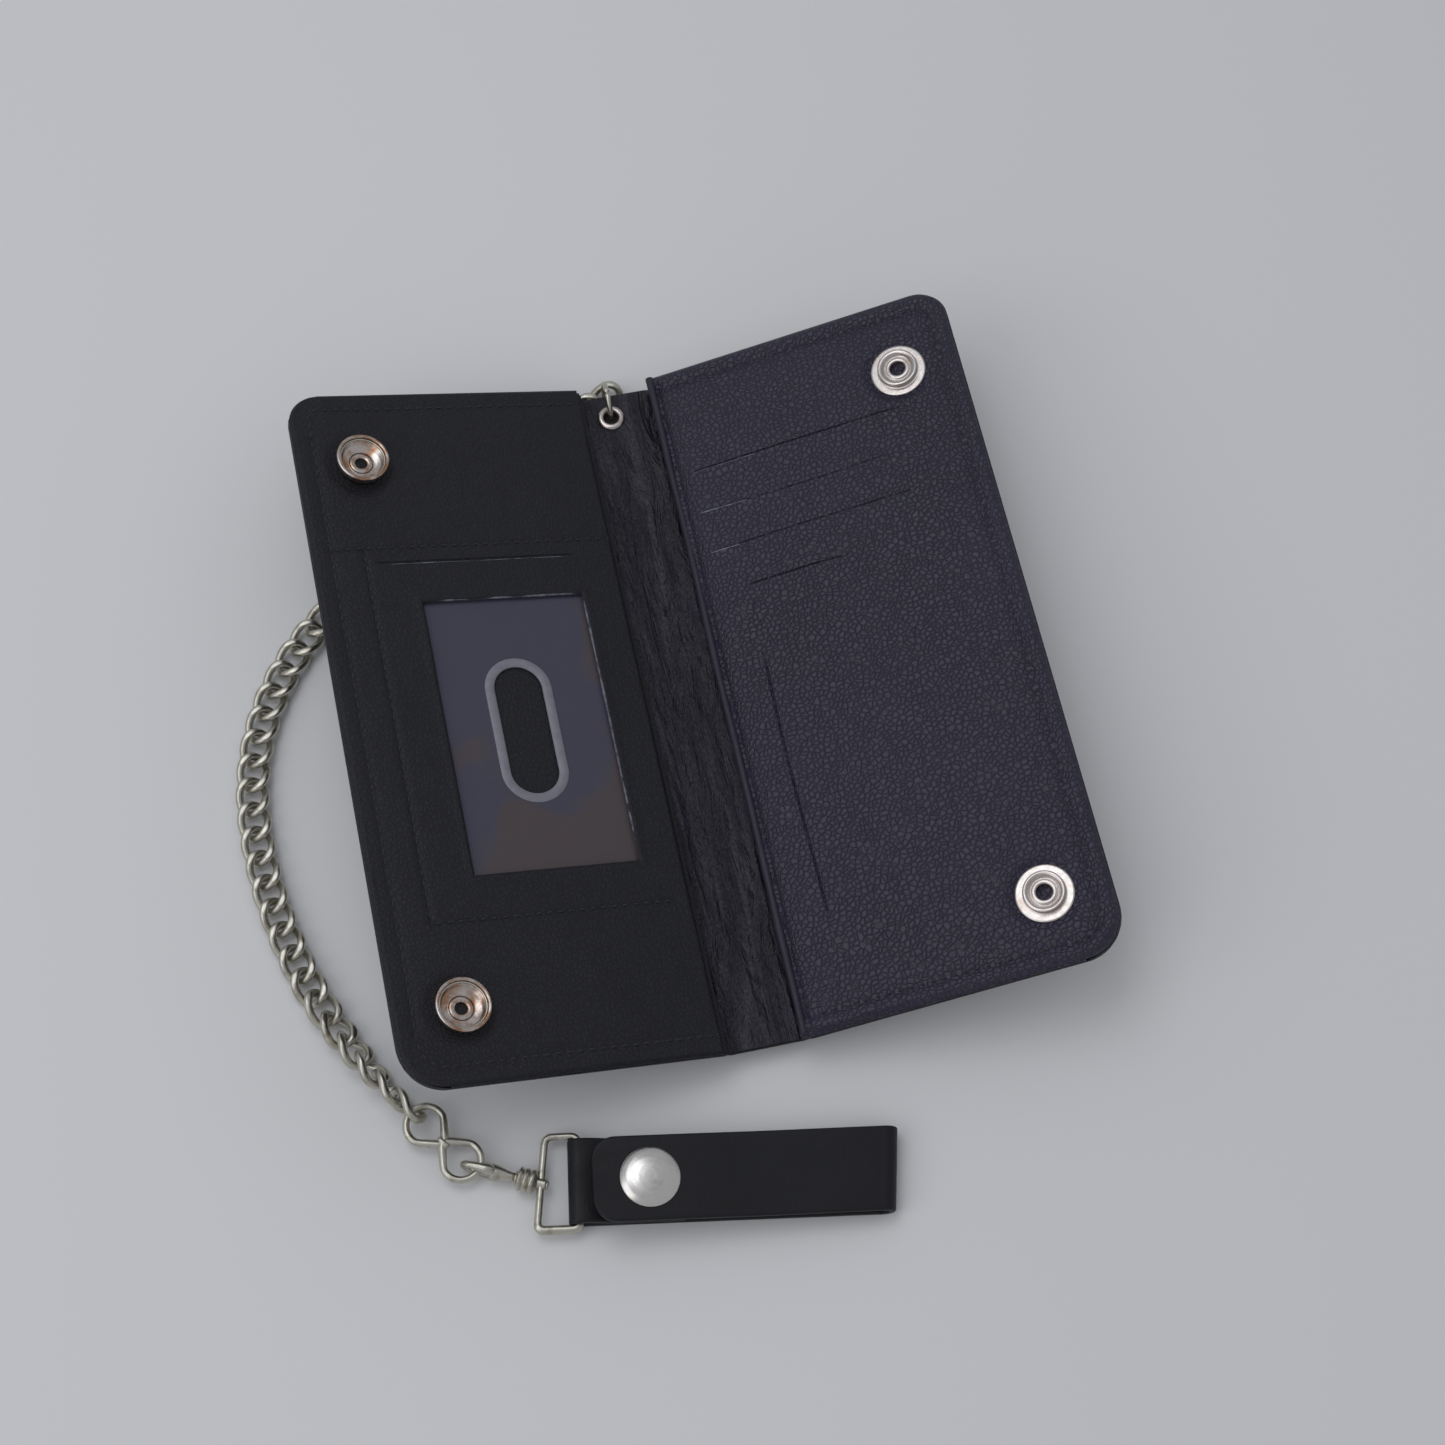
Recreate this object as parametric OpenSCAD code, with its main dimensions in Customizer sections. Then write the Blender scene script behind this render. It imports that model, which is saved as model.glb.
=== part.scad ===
// Long leather chain wallet: two covers on a soft spine, press studs, a window pocket and card slots,
// a curb chain from an eyelet in the spine, and a snap strap that goes round a belt loop.
// Origin: centre of the spine's resting face. +Y runs along the spine to the eyelet end, +Z is up.

/* [Wallet] */
// Height of the wallet along the spine
wallet_h = 184; // [170:1:200]
// Width of one cover from its fold line to its outer edge
cover_w = 78.8; // [74:0.2:90]
// Slope of each cover above the floor at rest, in degrees
open_angle = 15.8; // [12:0.2:30]
// Corner radius of the covers at the eyelet end
corner_top_r = 8; // [4:0.5:12]
// Corner radius of the covers at the other end
corner_bottom_r = 11; // [4:0.5:14]
// Thickness of the outer leather
shell_t = 1.6; // [1.4:0.1:1.8]
// Thickness of the inner panel leather
panel_t = 1.0; // [0.8:0.1:1.2]

/* [Press studs] */
// Diameter of the domed caps
cap_d = 15; // [13:0.5:16]
// Distance of the press studs from the fold line
snap_u = 62.8; // [60:0.2:66]
// Distance of the eyelet-end press studs from the middle of the wallet
snap_top_y = 71.1; // [68:0.1:76]
// Distance of the other press studs from the middle of the wallet
snap_bottom_y = 74.2; // [68:0.1:76]

/* [Window pocket] */
// Width of the window
window_w = 41; // [36:0.5:46]
// Height of the window
window_h = 73; // [66:0.5:76]
// Width of the thumb slot
thumb_w = 13; // [10:0.5:16]
// Height of the thumb slot
thumb_h = 35; // [28:0.5:40]

/* [Card slots] */
// Number of card slots
card_slots = 4; // [2:1:4]
// Distance from one card slot to the next
slot_pitch = 11.9; // [11:0.1:12.5]
// Length of a card slot
slot_len = 56; // [50:1:60]

/* [Chain] */
// Distance from one link to the next
link_pitch = 6.5; // [6.45:0.01:6.6]
// Diameter of the link wire
link_wire = 2.0; // [1.6:0.1:2.05]
// Length of a link along the middle of its wire
link_l = 9.0; // [8.8:0.1:9.2]
// Width of a link along the middle of its wire
link_w = 6.6; // [6.4:0.1:7]
// Twist of a link: how far its wire rises and falls
link_rise = 1.25; // [1.15:0.01:1.35]

/* [Strap] */
// Width of the belt strap
strap_w = 20; // [16:0.5:20.2]
// Length of the closed belt strap
strap_len = 77; // [70:1:90]
// Thickness of the strap leather
strap_t = 1.6; // [1.4:0.1:1.8]

/* [Hidden] */
$fn = 48;
eps = 0.01;

// Spine: fold lines, floor clearance and the two ends.
fold_x = 10.5;
fold_z = 6.5;
spine_half_w = 10.2;
spine_top_y = 91.2;
spine_shell_t = 1.1;
spine_lining_t = 0.5;
spine_under_z = fold_z - spine_shell_t - spine_lining_t;
foot_half_w = 4.8;
foot_y0 = -78;
foot_y1 = 64;
ramp_len = 12;

// Layers of a cover, as heights above its outer face.
u0 = 0.3;
left_panel_u0 = 1.5;
hem_w = 6;
board_top = shell_t + 0.6;
lining_top = board_top + 0.6;
left_panel_n = 3.45;
left_face = left_panel_n + panel_t;
right_panel_n = 4.0;
right_face = right_panel_n + panel_t;

// Press stud sizes: the tubes through the leather, the bowl of the socket and the boss of the stud.
post_r = 2.2;
hole_r = 2.25;
cap_bore_r = 1.4;
post_bore_r = 1.9;
flange_r = 7.1;
bowl_r = 6.65;
bowl_h = 3.8;
boss_r = 5.15;
boss_h = 2.25;
spring_r = 5.62;

// Window pocket: outline across the cover (u) and along it (y).
window_u = 12.5;
window_y = -41.7;
pocket_u = 5;
pocket_y0 = -53;
pocket_y1 = 46.5;
pocket_u1 = 67;
pocket_slit_y = 42.6;
thumb_u = 33.5;
thumb_y = -4.6;

// Card slots and the upright side pocket.
slot_u = 6.5;
slot_y = 60.2;
slit_w = 0.5;
side_slot_u = 11.8;
side_slot_y0 = -70;
side_slot_y1 = 6;
sleeve_t = 0.15;
sleeve_step = 0.22;
sleeve_depth = 52;

// Eyelet and jump ring.
eyelet_x = -3.2;
eyelet_y = 84.3;
eyelet_r = 3.6;
eyelet_bore_r = 1.95;
ring_r = 4.8;
ring_wire = 1.4;
ring_y = 84.9;
ring_z = ring_r + ring_wire / 2 + 0.15;

// Chain route: where the first link lies, its heading, and the turn from each link to the next.
chain_x = -3.35;
chain_y = 92.7;
chain_heading = -158;
hidden_links = 15;
bow_links = 9;
run_links = 13;
hidden_turn = 1.2;
bow_turn = 5.4;
run_turn = 2.9;
link_count = hidden_links + bow_links + run_links + 1;
links_per_group = 3;
link_z = 2.3;
edge_lift = 2.05;
edge_links = 6;
link_rings = 16;
link_sides = 8;

// Strap, its loop and the swivel, in the strap's own frame: s along it, t across it.
strap_x = -52.7;
strap_y = -112.9;
strap_heading = -9.5;
post_head_t = 0.5;
loop_wire = 1.8;
pin_clear = 0.08;
wrap_r = loop_wire / 2 + pin_clear;
loop_s = wrap_r + strap_t;
loop_z = post_head_t + strap_t + wrap_r;
loop_half_w = 11;
loop_top_s = -5.2;
loop_bottom_s = -7.4;
strap_snap_s = 19;
return_len = 27;
flap_tip_s = 5.8;
flap_slope = 4.5;
flap_skew = 1.2;
return_flat_s = 11.3;
strap_closed_gap = 4.9;
strap_cap_d = 14.2;
flap_hinge_s = strap_len - 4;

// Swivel: its pin runs square to the slanting side of the loop.
swivel_heading = -25.5;
swivel_s = (loop_top_s + loop_bottom_s) / 2;
pin_r = 0.7;
barrel_r = 2.95;
eye_r = 2.0;
eye_wire = 1.6;
eye_half_len = 1.5;
eye_dist = 15.2;

// Figure-of-eight link between the chain and the swivel.
eight_r = 4.6;
eight_wire = 1.9;
eight_sep = 12;
eight_heading = -55.5;
eight_tilt = 1.4;
eight_z = 3.4;
eight_reach = 6.2;
eight_lead = -56;

leather = [0.16, 0.16, 0.19];
nickel = [0.72, 0.71, 0.67];

// ---- Placing: each cover is drawn flat, u outwards along +X, y along the spine, n up from its outer face.

module on_right() {
    translate([fold_x, 0, fold_z]) rotate([0, -open_angle, 0]) children();
}

module on_left() {
    mirror([1, 0, 0]) on_right() children();
}

module at_snaps() {
    for (y = [-snap_bottom_y, snap_top_y]) translate([snap_u, y, 0]) children();
}

module on_strap() {
    translate([strap_x, strap_y, 0]) rotate([0, 0, strap_heading]) children();
}

// ---- Covers

// Outline of a cover from its fold edge, with its two outer corners round, drawn in by an inset.
module cover_outline(inset = 0, start = u0) {
    rt = corner_top_r - inset;
    rb = corner_bottom_r - inset;
    right = cover_w - inset;
    top = wallet_h / 2 - inset;
    translate([start, -top]) {
        translate([0, rb]) square([right - start, 2 * top - rt - rb]);
        translate([0, 0]) square([right - rb - start, rb]);
        translate([0, 2 * top - rt]) square([right - rt - start, rt]);
    }
    translate([right - rb, rb - top]) circle(rb);
    translate([right - rt, top - rt]) circle(rt);
}

module snap_holes(n0, n1) {
    at_snaps() translate([0, 0, n0 - 1]) cylinder(r = hole_r, h = n1 - n0 + 2);
}

// A layer that covers the whole outline, with a hem turned in along its three sewn sides.
module hemmed_sheet(n0, n1, hem_n0, hem_n1, start = u0) {
    difference() {
        union() {
            translate([0, 0, n0]) linear_extrude(n1 - n0) cover_outline(0, start);
            translate([0, 0, hem_n0]) linear_extrude(hem_n1 - hem_n0) difference() {
                cover_outline(0, start);
                cover_outline(hem_w, start - 1);
            }
        }
        snap_holes(min(n0, hem_n0), max(n1, hem_n1));
    }
}

module outer_shell() {
    color(leather) hemmed_sheet(0, shell_t, shell_t, board_top);
}

module stiffener() {
    color([0.55, 0.47, 0.36]) difference() {
        translate([0, 0, shell_t]) linear_extrude(board_top - shell_t) cover_outline(hem_w + 0.2, 1.5);
        snap_holes(shell_t, board_top);
    }
}

module lining() {
    color([0.2, 0.19, 0.23]) difference() {
        translate([0, 0, board_top]) linear_extrude(lining_top - board_top) cover_outline(1);
        snap_holes(board_top, lining_top);
    }
}

module box_at(u, y, n, size) {
    translate([u, y, n]) cube(size);
}

// ---- Left cover: window pocket

module left_panel() {
    color(leather) difference() {
        hemmed_sheet(left_panel_n, left_face, lining_top, left_panel_n, left_panel_u0);
        box_at(window_u, window_y, left_panel_n - 1, [window_w, window_h, panel_t + 2]);
        box_at(window_u, pocket_slit_y, left_panel_n - 1, [slot_len - 4, slit_w, panel_t + 2]);
    }
}

module id_window() {
    margin = 4;
    straight = thumb_h - thumb_w;
    color([0.75, 0.75, 0.85, 0.5]) difference() {
        box_at(window_u - margin, window_y - margin, left_panel_n - 0.25,
               [window_w + 2 * margin, window_h + 2 * margin, 0.25]);
        box_at(thumb_u - thumb_w / 2, thumb_y - straight / 2, left_panel_n - 1, [thumb_w, straight, 2]);
        for (side = [-1, 1])
            translate([thumb_u, thumb_y + side * straight / 2, left_panel_n - 1]) cylinder(d = thumb_w, h = 2);
    }
}

module id_pocket_backing() {
    rim = 1.5;
    size_u = pocket_u1 - pocket_u;
    size_y = pocket_y1 - pocket_y0;
    color([0.1, 0.1, 0.12]) difference() {
        box_at(pocket_u, pocket_y0, 2.9, [size_u, size_y, left_panel_n - 2.9]);
        box_at(pocket_u + rim, pocket_y0 + rim, 3.1, [size_u - 2 * rim, size_y - 2 * rim, 1]);
    }
}

// ---- Right cover: card slots

module right_panel() {
    color(leather) difference() {
        hemmed_sheet(right_panel_n, right_face, lining_top, right_panel_n);
        for (k = [0 : card_slots - 1])
            box_at(slot_u, slot_y - k * slot_pitch, right_panel_n - 1, [slot_len, slit_w, panel_t + 2]);
        box_at(side_slot_u, side_slot_y0, right_panel_n - 1,
               [slit_w, side_slot_y1 - side_slot_y0, panel_t + 2]);
    }
}

// Cloth sleeve number k behind its slot: each lies under the one before it.
module card_sleeve(k) {
    color([0.12, 0.12, 0.14]) box_at(slot_u, slot_y - (k - 1) * slot_pitch - sleeve_depth,
        lining_top + 0.1 + (card_slots + 1 - k) * sleeve_step, [slot_len, sleeve_depth, sleeve_t]);
}

module side_pocket_sleeve() {
    color([0.12, 0.12, 0.14]) box_at(side_slot_u, side_slot_y0, lining_top + 0.08,
        [slot_len, side_slot_y1 - side_slot_y0, sleeve_t]);
}

// ---- Press studs, drawn with the leather's faces between n0 (outside) and n1 (inside)

// Domed cap outside, with a tube through the leather that is rolled out inside the socket.
module snap_cap(n0, n1, d = cap_d) {
    color(nickel) translate([0, 0, n0]) rotate_extrude() polygon([
        [0, -1.9], [2.5, -1.85], [5, -1.55], [d / 2 - 0.7, -0.9], [d / 2, -0.3], [d / 2, 0],
        [post_r, 0], [post_r, n1 - n0 + 0.52], [3.0, n1 - n0 + 0.52], [3.0, n1 - n0 + 0.9],
        [cap_bore_r, n1 - n0 + 0.9], [cap_bore_r, 0], [0, 0]]);
}

// Deep bowl with a rolled rim and a groove for the spring; the post of the cap comes up through its floor.
module snap_socket(n1) {
    color(nickel) translate([0, 0, n1]) rotate_extrude() polygon([
        [hole_r, 0], [4.4, 0], [5.6, 0.5], [6.35, 1.6], [bowl_r, 3.1], [bowl_r, bowl_h - 0.2],
        [6.35, bowl_h], [5.95, 3.7], [5.75, 3.45], [6.1, 3.25], [6.1, 2.4], [5.5, 1.9], [4.9, 1.15],
        [4.0, 0.7], [3.2, 0.5], [hole_r, 0.5]]);
}

// Spring wire ring that grips the stud, loose in the groove of the socket.
module snap_spring(n1) {
    color(nickel) translate([0, 0, n1 + 2.85]) rotate_extrude() translate([spring_r, 0]) circle(r = 0.3);
}

// Flanged stud with a raised boss, waisted below its top edge.
module snap_stud(n1) {
    color(nickel) translate([0, 0, n1]) rotate_extrude() polygon([
        [hole_r, 0], [flange_r, 0], [flange_r, 0.25], [6.8, 0.42], [5.3, 0.42], [4.9, 0.7], [4.9, 1.5],
        [boss_r, 1.8], [5.1, 2.1], [4.7, boss_h], [4.1, 2.1], [3.7, 1.5], [3.4, 1.25], [hole_r, 1.25]]);
}

// Post with a flat head outside; its tube is rolled over the inside of the stud.
module snap_post(n0, n1, head_t = 0.8) {
    color(nickel) translate([0, 0, n0]) rotate_extrude() polygon([
        [post_bore_r, -head_t], [4.6, -head_t], [4.9, -head_t / 2], [4.9, 0], [post_r, 0],
        [post_r, n1 - n0 + 1.27], [3.1, n1 - n0 + 1.27], [3.1, n1 - n0 + 1.65],
        [post_bore_r, n1 - n0 + 1.65]]);
}

module snap_caps_left() { on_left() at_snaps() snap_cap(0, left_face); }
module snap_sockets_left() { on_left() at_snaps() snap_socket(left_face); }
module snap_springs_left() { on_left() at_snaps() snap_spring(left_face); }
module snap_posts_right() { on_right() at_snaps() snap_post(0, right_face); }
module snap_studs_right() { on_right() at_snaps() snap_stud(right_face); }

// ---- Spine

// Section of the sagging spine leather, filled (inner = 0) or the hollow above it (inner = 1).
module spine_section(inner) {
    wall = 1.4 * inner;
    side = spine_half_w - 2.3 * inner;
    slope = 8.6 - 0.7 * inner;
    foot = foot_half_w - 0.8 * inner;
    low = inner ? fold_z - spine_lining_t - 0.05 : spine_under_z;
    top = fold_z - spine_lining_t;
    polygon([[-side, top], [-side, low], [-slope, low], [-foot, wall], [foot, wall], [slope, low],
        [side, low], [side, top]]);
}

module along_y(y0, y1) {
    translate([0, y1, 0]) rotate([90, 0, 0]) linear_extrude(y1 - y0) children();
}

module eyelet_hole() {
    translate([eyelet_x, eyelet_y, 0]) cylinder(r = eyelet_bore_r + 0.55, h = fold_z + 1);
}

module outer_shell_spine() {
    top = fold_z - spine_lining_t;
    color(leather) difference() {
        intersection() {
            along_y(-spine_top_y, spine_top_y) spine_section(0);
            rotate([90, 0, 90]) translate([0, 0, -spine_half_w]) linear_extrude(2 * spine_half_w)
                polygon([[-spine_top_y, spine_under_z], [foot_y0 - ramp_len, spine_under_z], [foot_y0, 0],
                    [foot_y1, 0], [foot_y1 + ramp_len, spine_under_z], [spine_top_y, spine_under_z],
                    [spine_top_y, top], [-spine_top_y, top]]);
        }
        translate([0, 0, eps]) along_y(foot_y0 + 6, foot_y1 - 6) spine_section(1);
        eyelet_hole();
    }
}

module lining_spine() {
    color([0.22, 0.2, 0.28]) difference() {
        translate([-spine_half_w, -spine_top_y, fold_z - spine_lining_t])
            cube([2 * spine_half_w, 2 * spine_top_y, spine_lining_t]);
        eyelet_hole();
    }
}

module eyelet_barrel() {
    color(nickel) translate([eyelet_x, eyelet_y, 0]) rotate_extrude() polygon([
        [eyelet_bore_r, spine_under_z - 0.45], [eyelet_bore_r + 0.5, spine_under_z - 0.45],
        [eyelet_bore_r + 0.5, fold_z + eps], [eyelet_r, fold_z + eps], [eyelet_r, fold_z + 0.3],
        [3.0, fold_z + 0.75], [2.4, fold_z + 0.75], [eyelet_bore_r, fold_z + 0.4]]);
}

module eyelet_washer() {
    color(nickel) translate([eyelet_x, eyelet_y, spine_under_z - 0.45]) difference() {
        cylinder(r = eyelet_r, h = 0.45);
        translate([0, 0, -1]) cylinder(r = eyelet_bore_r + 0.5, h = 3);
    }
}

// ---- Chain

module wire_ring(r, wire) {
    rotate_extrude() translate([r, 0]) circle(d = wire, $fn = 24);
}

module jump_ring() {
    color(nickel) translate([eyelet_x, ring_y + ring_r, ring_z]) rotate([0, 90, 0]) wire_ring(ring_r, ring_wire);
}

// Turn from link i - 1 to link i, the heading of link i, and its centre.
function turn(i) = i <= hidden_links ? hidden_turn : i <= hidden_links + bow_links ? bow_turn : run_turn;
function heading(i) = i == 0 ? chain_heading : heading(i - 1) + turn(i);
function step(i) = link_pitch * [cos(heading(i) - turn(i) / 2), sin(heading(i) - turn(i) / 2)];
function link_at(i) = i == 0 ? [chain_x, chain_y] : link_at(i - 1) + step(i);

// The last links roll over until the last one stands on edge.
function roll(i) = max(0, i - (link_count - 1 - edge_links)) * 90 / edge_links;
function link_height(i) = link_z + edge_lift * sin(roll(i));

function link_mid(a) = [link_l / 2 * cos(a), link_w / 2 * sin(a), link_rise * sin(2 * a)];
function unit(v) = v / norm(v);

// A closed wire swept round the twisted oval of a curb link.
module curb_link() {
    points = [for (i = [0 : link_rings - 1]) let (
            a = 360 * i / link_rings,
            along = unit(link_mid(a + 1) - link_mid(a - 1)),
            out = unit(cross(along, [0, 0, 1])),
            up = cross(out, along))
        for (j = [0 : link_sides - 1]) let (b = 360 * j / link_sides)
            link_mid(a) + link_wire / 2 * (cos(b) * out + sin(b) * up)];
    faces = [for (i = [0 : link_rings - 1], j = [0 : link_sides - 1]) let (
            i2 = (i + 1) % link_rings,
            j2 = (j + 1) % link_sides,
            a = i * link_sides + j,
            b = i2 * link_sides + j,
            c = i2 * link_sides + j2,
            d = i * link_sides + j2)
        for (face = [[a, b, c], [a, c, d]]) face];
    polyhedron(points, faces);
}

module chain_group(g) {
    first = (g - 1) * links_per_group;
    color(nickel) for (i = [first : min(first + links_per_group, link_count) - 1])
        translate([link_at(i)[0], link_at(i)[1], link_height(i)])
            rotate([-roll(i), 0, heading(i)]) curb_link();
}

module figure_eight_link() {
    last = link_at(link_count - 1);
    x = last[0] + eight_reach * cos(eight_lead) + eight_sep / 2 * cos(eight_heading);
    y = last[1] + eight_reach * sin(eight_lead) + eight_sep / 2 * sin(eight_heading);
    color(nickel) translate([x, y, eight_z]) rotate([0, eight_tilt, eight_heading]) {
        for (side = [-1, 1]) translate([side * eight_sep / 2, 0, 0]) wire_ring(eight_r, eight_wire);
        translate([0, 0, -eight_wire / 2]) cylinder(r = 1.9, h = eight_wire);
    }
}

// ---- Swivel and loop, drawn in the strap's frame

module on_swivel() {
    on_strap() translate([swivel_s, 0, loop_z]) rotate([0, 0, swivel_heading - strap_heading]) children();
}

module along_pin(from, to, r) {
    translate([from, 0, 0]) rotate([0, 90, 0]) cylinder(r = r, h = to - from);
}

// Long eye standing on edge, its pin through the barrel and the loop, and a riveted head.
module swivel_eye() {
    color(nickel) on_swivel() {
        translate([-eye_dist, 0, 0]) rotate([90, 0, 0]) {
            for (side = [-1, 1]) intersection() {
                translate([side * eye_half_len, 0, 0]) wire_ring(eye_r, eye_wire);
                translate([side > 0 ? eye_half_len : -eye_half_len - 5, -5, -5]) cube([5, 10, 10]);
            }
            for (side = [-1, 1]) translate([-eye_half_len, side * eye_r, 0]) rotate([0, 90, 0])
                cylinder(d = eye_wire, h = 2 * eye_half_len, $fn = 24);
        }
        translate([-eye_dist + eye_half_len + eye_r - 0.2, 0, 0]) rotate([0, 90, 0])
            cylinder(r1 = 1.7, r2 = 1.2, h = 5.6);
        along_pin(-6.5, 1.5, pin_r);
        along_pin(1.3, 1.9, 1.15);
    }
}

module swivel_barrel() {
    color(nickel) on_swivel() difference() {
        union() {
            along_pin(-5.9, -1.5, 2.3);
            for (band = [-5.7, -4.25, -2.8]) along_pin(band, band + 1.0, barrel_r);
        }
        along_pin(-8, 1, pin_r + 0.06);
    }
}

// Flat wire loop with one slanting side, and a boss where the pin goes through.
module strap_loop() {
    corners = [[loop_s, loop_half_w], [loop_top_s, loop_half_w], [loop_bottom_s, -loop_half_w],
        [loop_s, -loop_half_w]];
    color(nickel) difference() {
        union() {
            on_strap() translate([0, 0, loop_z]) for (k = [0 : 3]) let (
                    a = corners[k],
                    b = corners[(k + 1) % 4],
                    way = b - a) {
                translate([a[0], a[1], 0]) rotate([0, 90, atan2(way[1], way[0])])
                    cylinder(d = loop_wire, h = norm(way), $fn = 24);
                translate([a[0], a[1], 0]) sphere(d = loop_wire + 0.2, $fn = 24);
            }
            on_swivel() along_pin(-1.4, 1.15, 1.3);
        }
        on_swivel() along_pin(-3, 3, pin_r + 0.06);
    }
}

// ---- Strap

// Rounded-end outline of a strap layer between s0 and s1, round at the s0 end only.
module strap_outline(s0, s1, r) {
    half = strap_w / 2;
    translate([s0 + r, -half]) square([s1 - s0 - r, strap_w]);
    translate([s0, r - half]) square([r, strap_w - 2 * r]);
    for (side = [-1, 1]) translate([s0 + r, side * (half - r)]) circle(r);
}

// The strap's press stud, where the flap's socket comes down on the returned end.
function snap_on_strap() = [flap_hinge_s - flap_reach * cos(flap_skew), -flap_reach * sin(flap_skew), 0];

module strap_snap_hole() {
    cylinder(r = hole_r, h = 20);
}

// Lower layer, its wrap round the loop, and the returned end that comes down under the stud.
module strap_body() {
    half = strap_w / 2;
    low = post_head_t;
    wrap_top = loop_z + wrap_r + strap_t;
    color([0.11, 0.11, 0.13]) on_strap() difference() {
        union() {
            translate([0, half, 0]) rotate([90, 0, 0]) linear_extrude(strap_w) polygon([
                [loop_s, low], [flap_hinge_s, low], [flap_hinge_s, low + strap_t],
                [return_len, low + strap_t], [return_len, strap_stud_z], [return_flat_s, strap_stud_z],
                [loop_s + 1, wrap_top], [loop_s, wrap_top]]);
            intersection() {
                translate([loop_s, half, loop_z]) rotate([90, 0, 0])
                    cylinder(r = wrap_r + strap_t, h = strap_w);
                translate([0, -half, low]) cube([loop_s + 3, strap_w, wrap_top - low]);
            }
        }
        translate([loop_s, half + 1, loop_z]) rotate([90, 0, 0]) cylinder(r = wrap_r, h = strap_w + 2);
        translate(snap_on_strap()) strap_snap_hole();
    }
}

strap_stud_z = post_head_t + 2 * strap_t + 0.2;
flap_low_z = strap_stud_z + strap_closed_gap;
flap_reach = flap_hinge_s - strap_snap_s;

// The flap's own frame: its underside is level here, and slopes up from the fold to the press stud.
// It is skewed a little on the fold, so it does not lie quite square over the lower layer.
module on_flap() {
    on_strap() translate([flap_hinge_s, 0, 0]) rotate([0, 0, flap_skew]) translate([-flap_reach, 0, flap_low_z])
        rotate([0, flap_slope, 0]) translate([-strap_snap_s, 0, 0]) children();
}

module strap_flap() {
    color([0.11, 0.11, 0.13]) on_flap() difference() {
        linear_extrude(strap_t) strap_outline(flap_tip_s, flap_hinge_s, 5.5);
        translate([strap_snap_s, 0, -9]) strap_snap_hole();
    }
}

// Folded end of the strap leather, joining the lower layer to the flap.
module strap_fold() {
    drop = flap_reach * sin(flap_slope);
    top_low = flap_low_z - drop;
    low = post_head_t;
    start = flap_hinge_s + 0.3;
    mid = (low + top_low + strap_t) / 2;
    reach = mid - low;
    inner = reach - strap_t;
    color([0.11, 0.11, 0.13]) on_strap() difference() {
        translate([start, strap_w / 2, mid]) rotate([90, 0, 0]) cylinder(r = reach, h = strap_w);
        translate([start, strap_w / 2 + 1, mid]) rotate([90, 0, 0]) cylinder(r = inner, h = strap_w + 2);
        translate([start - 20, -strap_w, low - 1]) cube([20, 2 * strap_w, 20]);
    }
}

module at_flap_snap() {
    on_flap() translate([strap_snap_s, 0, 0]) mirror([0, 0, 1]) children();
}

module at_strap_snap() {
    on_strap() translate(snap_on_strap()) children();
}

module strap_snap_cap() { at_flap_snap() snap_cap(-strap_t, 0, strap_cap_d); }
module strap_snap_socket() { at_flap_snap() snap_socket(0); }
module strap_snap_spring() { at_flap_snap() snap_spring(0); }
module strap_snap_stud() { at_strap_snap() snap_stud(strap_stud_z); }
module strap_snap_post() { at_strap_snap() snap_post(post_head_t, strap_stud_z, post_head_t); }

// ---- Drawing

outer_shell_spine();
lining_spine();
eyelet_barrel();
eyelet_washer();
on_left() outer_shell();  // outer_shell_left
on_left() stiffener();  // stiffener_left
on_left() lining();  // lining_left
on_left() id_pocket_backing();
on_left() id_window();
on_left() left_panel();
snap_caps_left();
snap_sockets_left();
snap_springs_left();
on_right() outer_shell();  // outer_shell_right
on_right() stiffener();  // stiffener_right
on_right() lining();  // lining_right
on_right() card_sleeve(1);  // card_sleeve_1
on_right() card_sleeve(2);  // card_sleeve_2
on_right() card_sleeve(3);  // card_sleeve_3
on_right() card_sleeve(4);  // card_sleeve_4
on_right() side_pocket_sleeve();
on_right() right_panel();
snap_posts_right();
snap_studs_right();
jump_ring();
chain_group(1);  // chain_01
chain_group(2);  // chain_02
chain_group(3);  // chain_03
chain_group(4);  // chain_04
chain_group(5);  // chain_05
chain_group(6);  // chain_06
chain_group(7);  // chain_07
chain_group(8);  // chain_08
chain_group(9);  // chain_09
chain_group(10);  // chain_10
chain_group(11);  // chain_11
chain_group(12);  // chain_12
chain_group(13);  // chain_13
figure_eight_link();
swivel_eye();
swivel_barrel();
strap_loop();
strap_body();
strap_fold();
strap_flap();
strap_snap_cap();
strap_snap_socket();
strap_snap_spring();
strap_snap_stud();
strap_snap_post();
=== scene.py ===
"""Looks of the open leather chain wallet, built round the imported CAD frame.

Lengths are in millimetres in this script and are turned into metres when a mesh is made.
A cover is described flat: u runs out from its fold line, y along the spine, n up from its outer face.
"""

import math

import bpy
import numpy as np
from mathutils import Matrix, Vector


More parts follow.
